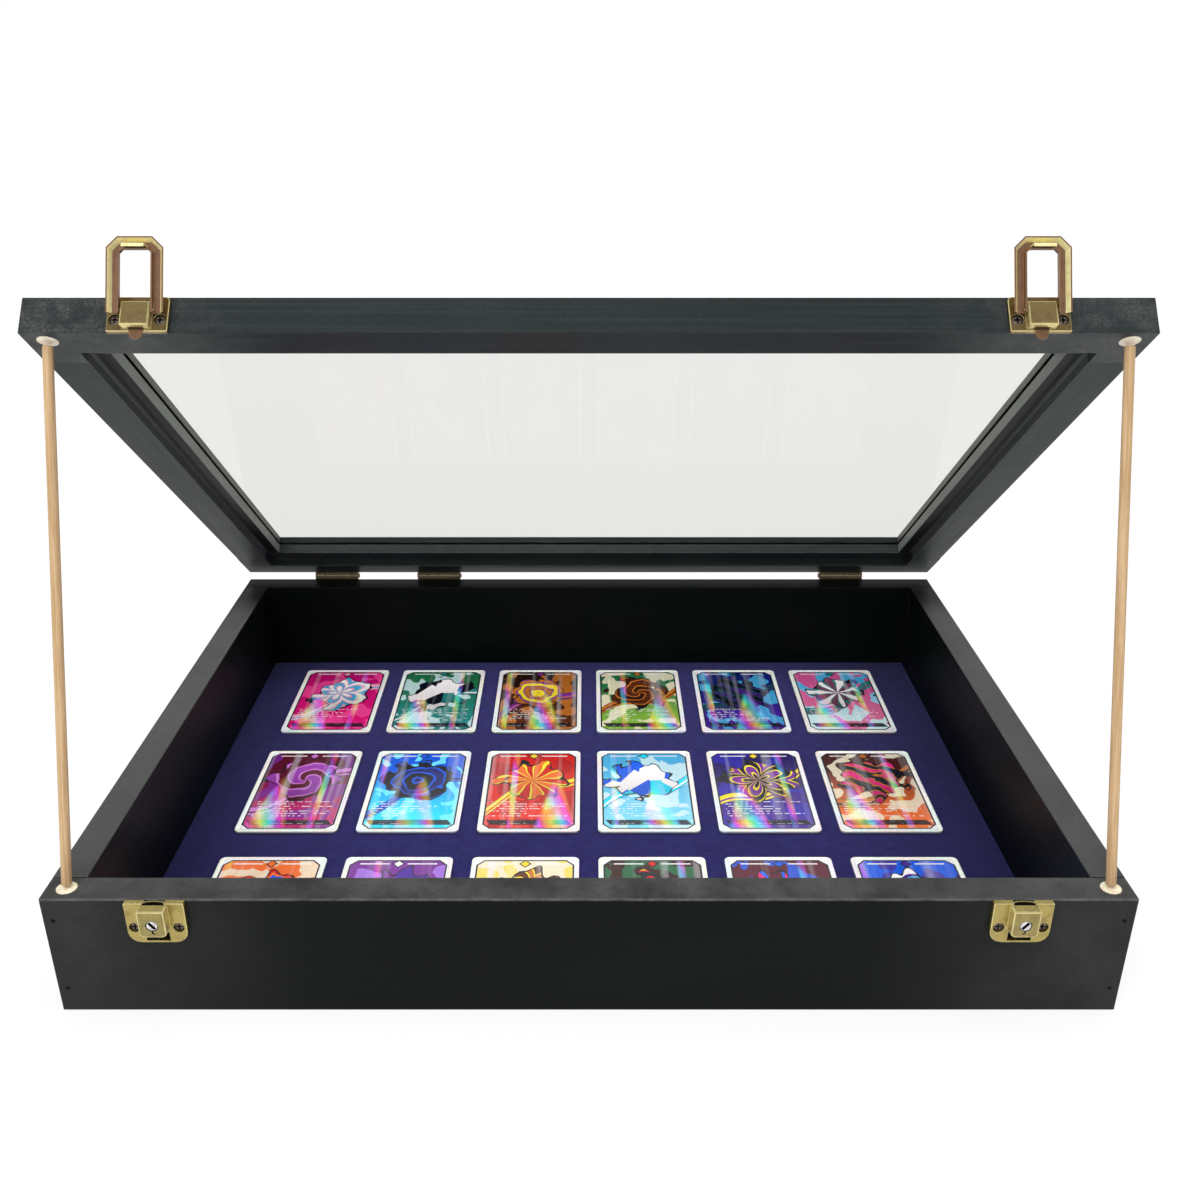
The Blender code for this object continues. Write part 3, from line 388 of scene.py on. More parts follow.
@dataclass(frozen=True)
class ClearPane:
    """Float glass, very slightly grey, which lets the lamps through to the inside."""

    name: str
    tint: Colour

    def make(self) -> Finish:
        """Builds the glass's material."""
        tree = Tree(self.name)
        glass = tree.add("BsdfPrincipled", {
            "Base Color": self.tint, "Roughness": 0.0, "IOR": 1.06, "Transmission Weight": 1.0,
            "Normal": tree.bump(tree.cloud(0.06, 1.0, 0.4), 0.00004, 0.3)})
        clear = tree.add("BsdfTransparent", {"Color": self.tint})
        shade = tree.add("LightPath", {}).outputs["Is Shadow Ray"]
        return tree.close(tree.add("MixShader", {0: shade, 1: glass.outputs[0], 2: clear.outputs[0]}))


@dataclass(frozen=True)
class Metal:
    """Sheet or turned metal with rubbed edges brightened as a painted highlight, and a cloudy tarnish."""

    name: str
    body: Colour
    rubbed_and_highlit: Colour
    tarnish: Colour
    rough: float
    edge: float = 0.0004
    cloud: float = 0.004
    metal: float = 0.85

    def make(self) -> Finish:
        """Builds the metal's material."""
        tree = Tree(self.name, self.body)
        clouds = tree.cloud(self.cloud, 5.0, 0.62)
        scratches = tree.noise(tree.place((0.0002, 0.006, 0.0012)), 3.0, 0.7)
        eased = tree.eased(self.edge)
        tree.lay(self.tarnish, tree.rise(clouds, 0.42, 0.7), 0.7)
        # Painted highlight, with wear: the sharp edges are laid brighter.
        tree.lay(self.rubbed_and_highlit, tree.edges(eased))
        gloss = tree.spread(tree.math("ADD", tree.product(clouds, 0.6), tree.product(scratches, 0.4)),
                            0.3, 0.7, self.rough - 0.06, self.rough + 0.12)
        pits = tree.product(tree.cloud(0.0004), 0.6)
        relief = tree.bump(tree.math("ADD", scratches, pits), 0.000012, 0.7, eased)
        return tree.surface(gloss, Normal=relief, Metallic=self.metal)


@dataclass(frozen=True)
class CylinderNickel:
    """Bright nickel, turned in fine rings, with painted shade in a ring round its edge, where the gap round
    the cylinder lies.
    """

    name: str
    centre: Vector
    radius: float

    def make(self) -> Finish:
        """Builds the cylinder's material."""
        tree = Tree(self.name, (0.8, 0.79, 0.78))
        parts = tree.add("SeparateXYZ", {0: tree.place((1.0, 1.0, 1.0), self.centre)}).outputs
        reach = tree.reach(parts[0], parts[2])
        turned = tree.noise(tree.add("CombineXYZ", {0: tree.product(reach, 6000.0)}).outputs[0], 2.0)
        tree.lay((0.5, 0.47, 0.46), tree.rise(tree.cloud(0.0016), 0.4, 0.7))
        # Painted shade: a dark ring round the face's edge, where the gap round the cylinder lies.
        tree.lay((0.02, 0.018, 0.014), tree.rise(reach, self.radius * 0.8, self.radius * 0.9))
        return tree.surface(tree.spread(turned, 0.3, 0.7, 0.16, 0.3), Metallic=0.7,
                            Normal=tree.bump(turned, 0.000008, 0.6))


@dataclass(frozen=True)
class Recess:
    """Near-black painted shade for the inside of a screw's cross or a keyway, with a little oil in it."""

    name: str

    def make(self) -> Finish:
        """Builds the recess's material."""
        tree = Tree(self.name, (0.002, 0.002, 0.002))
        grime = tree.cloud(0.0006)
        tree.lay((0.007, 0.006, 0.005), grime)
        return tree.surface(tree.spread(grime, 0.3, 0.7, 0.5, 0.8), Specular_IOR_Level=0.1)


RAINBOW: Stops = [(0.0, (0.95, 0.05, 0.3)), (0.17, (1.0, 0.45, 0.05)), (0.33, (0.95, 0.95, 0.1)),
                  (0.5, (0.15, 0.95, 0.3)), (0.67, (0.05, 0.75, 1.0)), (0.84, (0.25, 0.2, 1.0)),
                  (1.0, (0.95, 0.05, 0.8))]


@dataclass(frozen=True)
class FoilRim:
    """The bare silver foil of a card's rim and sides, with the faintest rainbow in it."""

    name: str
    silver: Colour = (0.96, 0.965, 0.97)

    def make(self) -> Finish:
        """Builds the rim's material."""
        tree = Tree(self.name, self.silver)
        drift = tree.noise(tree.place((0.03, 0.05, 0.05)), 0.0, 0.5)
        tree.lay(tree.ramp(tree.math("FRACT", tree.product(drift, 2.5)), RAINBOW), 0.13)
        return tree.surface(tree.spread(tree.cloud(0.0015, 2.0), 0.3, 0.7, 0.2, 0.3), Metallic=0.15,
                            Coat_Weight=0.3)


class Motif(Enum):
    """The plain ornaments that the foil cards are printed with."""

    BURST = "burst"
    SWIRL = "swirl"
    CRYSTAL = "crystal"
    WAVES = "waves"
    RINGS = "rings"
    LEAVES = "leaves"


class FoilPrint(Tree):
    """A printed foil face: an inked ornament on a coloured ground, captions and rainbow glints.

    The print is laid out across and up from the card's middle, in card widths.
    """

    ink: Colour = (0.008, 0.008, 0.014)
    pale: Colour = (0.88, 0.88, 0.9)

    def __init__(self, name: str, low: Vector, high: Vector, motif: Motif, ground: Trio, figure: Trio,
                 seed: float) -> None:
        """Lays out one card's print.

        Args:
            name: the material's name.
            low: the card's lowest corner.
            high: its highest corner.
            motif: its ornament.
            ground: the ground's colours: its head, its foot and its clouds.
            figure: the ornament's three colours.
            seed: what sets this print apart from the others.
        """
        super().__init__(name)
        self.motif, self.ground, self.figure, self.seed = motif, ground, figure, seed
        self.centre, wide = (low + high) / 2, high.x - low.x
        self.half_length = 0.5 * (high.y - low.y) / wide
        parts = self.add("SeparateXYZ", {0: self.place((wide,) * 3, self.centre)}).outputs
        self.across, self.up = parts[0], parts[1]
        seeded = self.centre + Vector((seed, seed * 0.7, 0.0))
        self.cloudy = self.noise(self.place((0.015, 0.018, 0.01), seeded), 1.0, 0.45, 0.7)
        self.sheen = self.noise(self.place((0.007, 0.3, 0.01), seeded), 1.0, 0.5)

    def ornament(self, height: Socket, reach: Socket) -> Socket:
        """Draws the ornament's inner pattern.

        Args:
            height: the place upwards from the ornament's middle.
            reach: the distance from it.

        Returns:
            The pattern as a value from 0 to 1.
        """
        angle = self.math("ARCTAN2", height, self.across)
        bend = self.product(self.cloudy, 4.0)
        if self.motif is Motif.BURST:
            turn = self.math("MULTIPLY_ADD", angle, 7.0, bend)
        elif self.motif is Motif.SWIRL:
            turn = self.math("MULTIPLY_ADD", reach, 26.0, self.math("MULTIPLY_ADD", angle, 2.0, bend))
        elif self.motif is Motif.RINGS:
            turn = self.math("MULTIPLY_ADD", reach, 34.0, self.product(bend, 2.0))
        elif self.motif is Motif.WAVES:
            slope = self.math("MULTIPLY_ADD", self.across, 0.6, height)
            turn = self.math("MULTIPLY_ADD", slope, 30.0, self.product(bend, 3.0))
        elif self.motif is Motif.LEAVES:
            lobes = self.math("ABSOLUTE", self.math("SINE", self.product(angle, 2.5)))
            turn = self.math("MULTIPLY_ADD", self.math("MULTIPLY_ADD", lobes, -0.24, reach), 26.0, bend)
        else:
            cells = self.add("TexVoronoi", {
                "Vector": self.place((0.012, 0.015, 0.01), self.centre), "Scale": 1.0}).outputs["Color"]
            turn = self.product(self.add("SeparateColor", {0: cells}).outputs[0], 6.3)
        return self.math("MULTIPLY_ADD", self.math("SINE", turn), 0.5, 0.5)

    def artwork(self) -> None:
        """Lays the ground with its ribbons and clouds, and the inked ornament on it."""
        self.colour = self.ramp(self.spread(self.up, -0.7, 0.7, 0.0, 1.0),
                                [(0.15, self.ground[1]), (0.75, self.ground[0])])
        self.lay(self.ground[2], self.rise(self.cloudy, 0.53, 0.545), 0.8)
        sway = self.math("SINE", self.math("MULTIPLY_ADD", self.across, 6.0, self.seed * 9.0))
        slope = self.math("MULTIPLY_ADD", self.across, -0.7, self.up)
        ribbon = self.math("ADD", slope, self.product(sway, 0.13))
        for ink, low, high, soft in ((self.ink, -0.11, 0.05, 0.006), (self.figure[1], -0.1, 0.04, 0.006),
                                     (self.figure[2], -0.07, -0.03, 0.01)):
            self.lay(ink, self.band(ribbon, low, high, soft))
        height = self.math("SUBTRACT", self.up, 0.17)
        reach = self.reach(self.across, height)
        angle = self.math("ARCTAN2", height, self.across)
        lobes = 5.0 + round(self.seed * 3)
        frill = self.math("SINE", self.math("MULTIPLY_ADD", angle, lobes, self.seed * 5.0))
        wavy = self.math("MULTIPLY_ADD", self.cloudy, 0.42, self.product(frill, 0.035))
        edge = self.math("ADD", reach, wavy)
        inside = self.ramp(self.ornament(height, reach), [
            (0.0, self.figure[0]), (0.3, self.ink), (0.34, self.figure[1]), (0.68, self.ink),
            (0.71, self.figure[2])], hard=True)
        inside = self.mix(1.0, inside, self.spread(height, -0.3, 0.3, 0.7, 1.15), "MULTIPLY")
        self.lay(self.ink, self.rise(edge, 0.555, 0.548))
        self.lay(inside, self.rise(edge, 0.53, 0.523))

    def small_print(self, rows: float) -> Socket:
        """Makes rows of fine marks, as small print looks from afar, with no letters in them.

        Args:
            rows: how many rows a card's width holds.

        Returns:
            The marks as a mask.
        """
        lines = self.product(self.up, rows)
        row = self.math("FLOOR", lines)
        spot = self.add("CombineXYZ", {0: self.product(self.across, 30.0), 1: self.product(row, 7.31),
                                       2: self.seed * 40.0}).outputs[0]
        ends = self.add("CombineXYZ", {0: self.product(row, 5.17), 1: self.seed * 9.0}).outputs[0]
        reach = self.spread(self.noise(ends, 0.0), 0.35, 0.65, -0.1, 0.45)
        return self.product(self.rise(self.noise(spot, 1.0, 0.5), 0.44, 0.54),
                            self.rise(self.math("SUBTRACT", self.across, reach), 0.0, -0.02),
                            self.band(self.math("FRACT", lines), 0.25, 0.75, 0.15))

    def captions(self) -> None:
        """Lays the small print, the caption band at the foot and the gem and lines at the head."""
        up, slant = self.up, self.math("MULTIPLY_ADD", self.up, 0.6, self.across)
        block = self.product(self.band(up, -0.5, -0.22, 0.008), self.band(self.across, -0.4, 0.38, 0.01))
        self.lay(self.pale, self.small_print(24.0), block, 0.75)
        foot = self.band(up, -0.635, -0.545, 0.005)
        self.lay(self.ink, foot, self.band(slant, -0.76, 0.05, 0.008), 0.95)
        self.lay(self.pale, self.small_print(17.0), self.band(up, -0.615, -0.565, 0.006),
                 self.band(slant, -0.7, 0.0, 0.01), 0.85)
        self.lay(self.ground[2], foot, self.rise(slant, 0.075, 0.085))
        side = self.math("ABSOLUTE", self.across)
        self.lay(self.pale, self.band(up, 0.632, 0.652, 0.004), self.band(side, 0.08, 0.36, 0.006))
        gem = self.math("ADD", side, self.math("ABSOLUTE", self.math("SUBTRACT", up, 0.642)))
        self.lay(self.ink, self.rise(gem, 0.062, 0.056))
        self.lay(self.figure[1], self.rise(gem, 0.045, 0.04))

    def rainbow(self) -> None:
        """Throws upright rainbow glints over the print, as pressed foil does."""
        drift = self.math("MULTIPLY_ADD", self.up, 0.9, self.seed * 1.7)
        hue = self.math("FRACT", self.math("ADD", drift, self.product(self.across, 3.2)))
        place = 0.26 * math.sin(self.seed * 11.0)
        off = self.math("ABSOLUTE", self.math("SUBTRACT", self.across, place))
        width = self.spread(self.up, -0.75, 0.35, 0.24, 0.02)
        beam = self.product(self.rise(self.math("SUBTRACT", off, width), 0.0, -0.06),
                            self.rise(self.up, 0.3, -0.1))
        place -= math.copysign(0.44, place)
        second = self.product(self.band(self.across, place - 0.045, place + 0.045, 0.03), 0.6)
        glow = self.product(self.math("ADD", self.product(beam, 0.75), second),
                            self.spread(self.cloudy, 0.35, 0.6, 0.45, 1.0))
        self.colour = self.mix(glow, self.colour, self.ramp(hue, RAINBOW), "SCREEN")

    def make(self) -> Finish:
        """Builds the printed face's material."""
        self.artwork()
        self.lay(self.pale, self.rise(self.sheen, 0.52, 0.75), 0.25)
        self.captions()
        self.rainbow()
        side = self.math("SUBTRACT", 0.5, self.math("ABSOLUTE", self.across))
        end = self.math("SUBTRACT", self.half_length, self.math("ABSOLUTE", self.up))
        corner = self.product(self.math("SUBTRACT", self.math("ADD", side, end), 0.1), 0.707)
        edge = self.math("MINIMUM", self.math("MINIMUM", side, end), corner)
        self.lay(self.ink, self.rise(edge, 0.064, 0.06))
        self.lay(self.pale, self.rise(edge, 0.048, 0.044))
        return self.surface(self.spread(self.sheen, 0.3, 0.7, 0.2, 0.32), Metallic=0.2, Coat_Weight=0.4,
                            Coat_Roughness=0.12)


def body_of(node: str) -> str:
    """Names the CAD body that a node rides on."""
    return frame["nodes"][node]["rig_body"]


def placed(name: str, shape: Shape, finishes: list[Finish]) -> Piece:
    """Turns a finished shape into an object of the scene.

    Args:
        name: the object's name.
        shape: its faces, in the case's own place.
        finishes: the materials, in the order of the faces' slots.

    Returns:
        The object.
    """
    mesh = bpy.data.meshes.new(name)
    shape.to_mesh(mesh)
    shape.free()
    for finish in finishes:
        mesh.materials.append(finish)
    piece = bpy.data.objects.new(name, mesh)
    bpy.context.scene.collection.objects.link(piece)
    return piece


def show(name: str, shape: Shape, finishes: list[Finish], body: str, slot: str, *stands_for: str) -> None:
    """Makes a piece of a finished shape, dresses it and lets it ride on its body.

    Args:
        name: the piece's name.
        shape: its faces.
        finishes: its materials.
        body: the CAD body that it moves with.
        slot: the name of the record's material slot; not used.
        *stands_for: CAD nodes that it takes the place of.
    """
    piece = placed(name, shape, finishes)
    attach(piece, body)
    if stands_for:
        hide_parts(*stands_for)
    LOG.info("%s: %d faces on %s", name, len(piece.data.polygons), body)


def dress(node: str, finish: Finish) -> None:
    """Gives a CAD node that keeps its own shape a better material."""
    for slot in frame["nodes"][node].material_slots:
        slot.material = finish
    LOG.info("%s: own shape, dressed in %s", node, finish.name)


def merged(node: str) -> Shape:
    """Copies a CAD node's faces with their corners joined and flat neighbours made one.

    Args:
        node: the CAD node.

    Returns:
        The copy, with its rounds shaded smooth and its corners kept sharp.
    """
    shape = bmesh.new()
    shape.from_mesh(frame["nodes"][node].data)
    bmesh.ops.remove_doubles(shape, verts=shape.verts, dist=MERGE_WITHIN)
    bmesh.ops.dissolve_limit(shape, angle_limit=FLAT_BELOW, verts=shape.verts, edges=shape.edges)
    for face in shape.faces:
        face.smooth = True
        face.material_index = 0
    for edge in shape.edges:
        turn, areas = edge.calc_face_angle(0.0), sorted(face.calc_area() for face in edge.link_faces)
        broad = turn > EASED_ABOVE and areas[-1] > BROAD_TIMES * areas[0]
        edge.smooth = turn < SHARP_ABOVE and not broad
    return shape


def middle_and_top(shape: Shape, front: Vector) -> tuple[Vector, float]:
    """Finds a turned piece's axis and how far it reaches to the front.

    Args:
        shape: the piece.
        front: the direction that its axis points in.

    Returns:
        A point on the axis, and the reach along that direction.
    """
    top = max(vert.co.dot(front) for vert in shape.verts)
    crown = [vert.co for vert in shape.verts if vert.co.dot(front) > top - CROWN_DEPTH]
    low = Vector([min(spot[axis] for spot in crown) for axis in range(3)])
    high = Vector([max(spot[axis] for spot in crown) for axis in range(3)])
    return (low + high) / 2, top


def sort_faces(shape: Shape, slot_of: Callable[[Facet], int]) -> Shape:
    """Puts each face in the material slot that the given rule names for it."""
    for face in shape.faces:
        face.material_index = slot_of(face)
    return shape


@dataclass
class Studio:
    """A plain white floor, a white surround and two soft lamps."""

    floor_reach: float = 7.0
    floor_tone: float = 0.9
    surround: float = 0.5
    overhead: float = 0.42
    shadow_reach: tuple[float, float] = (0.8, 2.2)
    aim: Triple = (0.0, 0.0, 0.08)

    def floor(self) -> None:
        """Lays the floor, which keeps the case's soft shadow and is plain white further off."""
        shape = bmesh.new()
        bmesh.ops.create_circle(shape, cap_ends=True, segments=64, radius=self.floor_reach)
        tree = Tree("floor_white")
        rays = tree.add("LightPath", {}).outputs
        seen = tree.math("MAXIMUM", rays["Is Camera Ray"],
                         tree.math("MAXIMUM", rays["Is Glossy Ray"], rays["Is Transmission Ray"]))
        away = tree.add("VectorMath", {0: tree.place((1.0, 1.0, 1.0))}, operation="LENGTH").outputs["Value"]
        plain = tree.spread(away, *self.shadow_reach, 0.74, 1.0)
        matt = tree.add("BsdfDiffuse", {"Color": (self.floor_tone,) * 3})
        glow = tree.add("Emission", {"Color": (1.0, 1.0, 1.0), "Strength": 1.06})
        finish = tree.close(tree.add("MixShader", {
            0: tree.product(seen, plain), 1: matt.outputs[0], 2: glow.outputs[0]}))
        floor = placed("floor", shape, [finish])

    def surroundings(self) -> None:
        """Makes the world: white where it is seen, a plain level where it lights."""
        world = bpy.data.worlds.new("white_room")
        bpy.context.scene.world = world
        tree = Tree("", owner=world)
        rays = tree.add("LightPath", {}).outputs
        seen = tree.math("MAXIMUM", rays["Is Camera Ray"], rays["Is Transmission Ray"])
        up = tree.add("SeparateXYZ", {0: tree.add("TexCoord", {}).outputs["Generated"]}).outputs["Z"]
        fade = tree.add("MapRange", {
            "Value": up, "From Min": 0.4, "From Max": 0.85, "To Min": 1.0, "To Max": self.overhead},
            interpolation_type="SMOOTHSTEP").outputs[0]
        plain = tree.add("Mix", {0: rays["Is Glossy Ray"], 2: self.surround, 3: fade}).outputs[0]
        level = tree.add("Mix", {0: seen, 2: plain, 3: 1.0}).outputs[0]
        tree.close(tree.add("Background", {"Color": (1.0, 1.0, 1.0), "Strength": level}), "OutputWorld")

    def lamp(self, name: str, place: Vector, side: float, watts: float) -> None:
        """Hangs one square soft lamp that faces the case.

        Args:
            name: the lamp's name.
            place: where it hangs.
            side: the length of its side.
            watts: its power.
        """
        light = bpy.data.lights.new(name, "AREA")
        light.shape, light.size, light.energy = "SQUARE", side, watts
        lamp = bpy.data.objects.new(name, light)
        turn = (Vector(self.aim) - place).to_track_quat("-Z", "Y").to_matrix().to_4x4()
        lamp.matrix_world = Matrix.Translation(place) @ turn
        lamp.visible_glossy = False
        bpy.context.scene.collection.objects.link(lamp)

    def build(self) -> None:
        """Sets up the floor, the surround and the lamps."""
        self.floor()
        self.surroundings()
        self.lamp("key_lamp", Vector((-0.7, -1.5, 2.3)), 1.6, 42.0)
        self.lamp("top_lamp", Vector((0.5, 0.5, 2.6)), 1.8, 26.0)
        LOG.info("studio ready")


@dataclass
class PhotoCamera:
    """The photograph's point of view."""

    place: Triple = (0.0, -0.63767, 0.41656)
    tip: float = math.radians(66.03)
    lens: float = 35.756
    sensor: float = 36.0
    nearest: float = 0.01
    side_shift: float = 0.00933

    def build(self) -> None:
        """Puts the camera where the photograph was taken from."""
        data = bpy.data.cameras.new("photo_camera")
        data.lens, data.sensor_width = self.lens, self.sensor
        data.shift_x, data.clip_start = self.side_shift, self.nearest
        camera = bpy.data.objects.new("photo_camera", data)
        camera.location = self.place
        camera.rotation_euler.x = self.tip
        bpy.context.scene.collection.objects.link(camera)
        bpy.context.scene.camera = camera


@dataclass
class CaseBox:
    """The open wooden box with its felt liner, its dark nail marks and the two rim seats."""

    nail_radius: float = 0.0011
    nail_proud: float = 0.00012
    nail_side: float = 0.0048
    nail_heights: tuple[float, float] = (0.0535, 0.0135)
    nail_lift: float = 0.00002
    end_sheen_reach: tuple[float, float] = (0.12, 0.25)

    def nail(self, name: str, side: float, height: float, finish: Finish) -> None:
        """Sets one small dished nail mark, in the near-black recess finish, into the front panel.

        Args:
            name: the piece's name.
            side: its place along X.
            height: its place along Z.
            finish: the mark's near-black material.
        """
        low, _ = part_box("front_panel")
        shape = bmesh.new()
        ring = bmesh.ops.create_circle(shape, cap_ends=True, segments=20, radius=self.nail_radius)
        face = ring["verts"][0].link_faces[0]
        for share, depth in ((0.3, self.nail_proud), (0.25, -self.nail_proud * 0.8)):
            bmesh.ops.inset_region(shape, faces=[face], thickness=self.nail_radius * share, depth=depth)
        for face in shape.faces:
            face.smooth = True
        middle = Matrix.Translation((side, low.y - self.nail_lift, height))
        turn = middle @ Matrix.Rotation(math.radians(90), 4, "X")
        bmesh.ops.transform(shape, matrix=turn, verts=shape.verts)
        show(name, shape, [finish], "case", "case_wood")

    def build(self) -> None:
        """Dresses the box and adds its small pieces."""
        ground, streak, worn = (0.0026, 0.0034, 0.0034), (0.0052, 0.0066, 0.0066), (0.16, 0.165, 0.16)
        low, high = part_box("front_panel")
        start, full = self.end_sheen_reach
        top, face = (2, high.z - 0.0006, high.z - 0.0001), (1, high.y, low.y)
        edge = ((2, high.z - 0.0014, high.z - 0.0005), (1, low.y + 0.0009, low.y))
        # Painted light: the top of the front panel, with the top of its front face, is laid lighter as if lit
        # from above.
        wear_and_light = [WearAndLightPatch((top,), (0.07, 0.071, 0.069), 1.0, 0.03)]
        # Painted sheen: both ends of the front face are laid lighter.
        wear_and_light += [WearAndLightPatch(((0, side * start, side * full), face), (0.05, 0.052, 0.05), 0.6, 0.05, 0.6)
                 for side in (-1, 1)]
        wear_and_light.append(WearAndLightPatch(edge, worn, 0.7, 0.009))
        # Painted light: the tops of the side panels are laid lighter, fading out towards the back.
        side_tops_light = (WearAndLightPatch((top, (1, 0.16, 0.12)), (0.074, 0.077, 0.074), 0.95, 0.05, 0.8),)
        across = PaintedWood("black_paint_across", ground, streak, worn, Grain.ACROSS)
        sides = replace(across, name="black_paint_backwards", grain=Grain.BACKWARDS, wear_and_light=side_tops_light).make()
        dress("front_panel", replace(across, name="black_paint_front", wear_and_light=tuple(wear_and_light)).make())
        dress("bottom_panel", across.make())
        rear = replace(across, name="black_paint_rear", worn=(0.12, 0.13, 0.13), mirror=0.045)
        dress("rear_panel", rear.make())
        # The felt's third colour is painted shade along the side walls.
        dress("felt_liner", Felt("indigo_felt", (0.0132, 0.0112, 0.0755), (0.0225, 0.0198, 0.123),
                                 (0.006, 0.0048, 0.033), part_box("felt_liner")[1].x).make())
        seat = BareWood("cream_seat_wood", tone(250, 245, 224), tone(232, 214, 178), SEAT_GRAIN).make()
        for side in SIDES:
            dress(f"{side}_panel", sides)
            show(f"rim_seat_wood_{side}", merged(f"rim_seat_{side}"), [seat], "case", "bare_wood",
                 f"rim_seat_{side}")
        nail_dark = Recess("nail_mark_dark").make()
        half = CAD_BOX[1][0] - self.nail_side
        for number, height in enumerate(self.nail_heights, 1):
            for side, middle in zip(SIDES, (-half, half)):
                self.nail(f"nail_mark_{side}_{number}", middle, height, nail_dark)


@dataclass
class GlassLid:
    """The framed glass lid with the seats that the props push on."""

    tint: Colour = (0.81, 0.815, 0.79)
    lip_side: float = 0.235
    glass_side: float = 0.225

    def build(self) -> None:
        """Dresses the lid's rails, pane and seats."""
        ground, streak, worn = (0.018, 0.0235, 0.0245), (0.036, 0.044, 0.0455), (0.12, 0.125, 0.125)
        # Painted light and shade in the side rails' rebate: a lighter step wall, a near-black lip and a
        # lighter wall beside the glass.
        painted_lit_step, painted_rebate_shade, wall = (0.15, 0.16, 0.157), (0.001, 0.002, 0.0024), tone(116, 120, 115)
        # Painted sheen: the front rail's ends are laid lighter, the left more than the right.
        ends = tuple(WearAndLightPatch(((0, side * 0.14, side * 0.225),), (0.11, 0.112, 0.11), strength, 0.014, -0.3, 0.85)
                     for side, strength in ((-1, 0.62), (1, 0.55)))
        across = PaintedWood("lid_paint_across", ground, streak, worn, Grain.ACROSS, (), -LID_LEAN, 0.5, 0.14,
                             0.0001, 0.16)
        dress("lid_front_rail", replace(across, name="lid_paint_front", wear_and_light=ends).make())
        dress("lid_rear_rail", replace(across, name="lid_paint_rear", mirror=0.1).make())
        dress("glass_pane", ClearPane("clear_pane", self.tint).make())
        # Painted light: the lid's seats are laid brighter than the rim's, because they face down.
        seat = BareWood("lid_seat_wood", tone(255, 252, 240), tone(240, 224, 194), SEAT_GRAIN).make()
        for name, side in zip(SIDES, (-1, 1)):
            lip, pane = side * self.lip_side, side * self.glass_side
            # Scuffs, then the rebate's painted light and shade: lighter step wall, near-black lip, lighter
            # wall beside the glass.
            scuffs_and_rebate_shading = (WearAndLightPatch((), (0.05, 0.054, 0.052), 0.5, 0.03, -0.2, 0.3),
                      WearAndLightPatch(((0, lip + side * 0.0001, lip - side * 0.0001),), painted_lit_step, 0.9, 0.05, 1.0),
                      WearAndLightPatch(((0, lip - side * 0.0003, lip - side * 0.004),), painted_rebate_shade, 0.97, 0.05, 1.0),
                      WearAndLightPatch(((0, pane + side * 0.0004, pane + side * 0.0001),), wall, 0.95, 0.05, 0.9))
            dress(f"lid_{name}_rail", replace(across, name=f"lid_{name}_rail_paint", grain=Grain.BACKWARDS,
                                              wear_and_light=scuffs_and_rebate_shading, mirror=0.1).make())
            show(f"lid_seat_wood_{name}", merged(f"lid_seat_{name}"), [seat], "lid", "bare_wood",
                 f"lid_seat_{name}")


@dataclass
class PropRods:
    """The two loose turned rods that hold the lid up."""

    radius: float = 0.0024
    sides: int = 40
    rounding: float = 0.0004
    stations: int = 12

    def rod(self, side: str, finish: Finish) -> None:
        """Turns one rod between the two ends of its CAD node.

        Args:
            side: left or right.
            finish: the wood's material.
        """
        node = f"prop_{side}"
        low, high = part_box(node)
        half_rise = self.radius * math.sin(PROP_LEAN)
        half_depth = self.radius * math.cos(PROP_LEAN)
        middle_x = (low.x + high.x) / 2
        foot = Vector((middle_x, low.y + half_depth, low.z + half_rise))
        head = Vector((middle_x, high.y - half_depth, high.z - half_rise))
        length = (head - foot).length
        shape = bmesh.new()
        outline = [(0.0, 0.0), (self.radius - self.rounding, 0.0)]
        outline += [(self.radius, self.rounding + (length - 2 * self.rounding) * step / self.stations)
                    for step in range(self.stations + 1)]
        outline += [(self.radius - self.rounding, length), (0.0, length)]
        points = [shape.verts.new((out, 0.0, up)) for out, up in outline]
        edges = [shape.edges.new(pair) for pair in zip(points, points[1:])]
        bmesh.ops.spin(shape, geom=points + edges, cent=(0, 0, 0), axis=(0, 0, 1),
                       angle=math.tau, steps=self.sides, use_merge=True)
        bmesh.ops.remove_doubles(shape, verts=shape.verts, dist=MERGE_WITHIN)
        bmesh.ops.recalc_face_normals(shape, faces=shape.faces)
        for face in shape.faces:
            face.smooth = True
        turn = (head - foot).to_track_quat("Z", "Y").to_matrix().to_4x4()
        bmesh.ops.transform(shape, matrix=Matrix.Translation(foot) @ turn, verts=shape.verts)
        show(f"prop_rod_{side}", shape, [finish], body_of(node), "bare_wood", node)

    def build(self) -> None:
        """Turns and dresses both rods."""
        birch = BareWood("birch_rod", tone(214, 181, 139), tone(190, 153, 110), (0.0009, 0.0009, 0.03),
                         -PROP_LEAN).make()
        for side in SIDES:
            self.rod(side, birch)


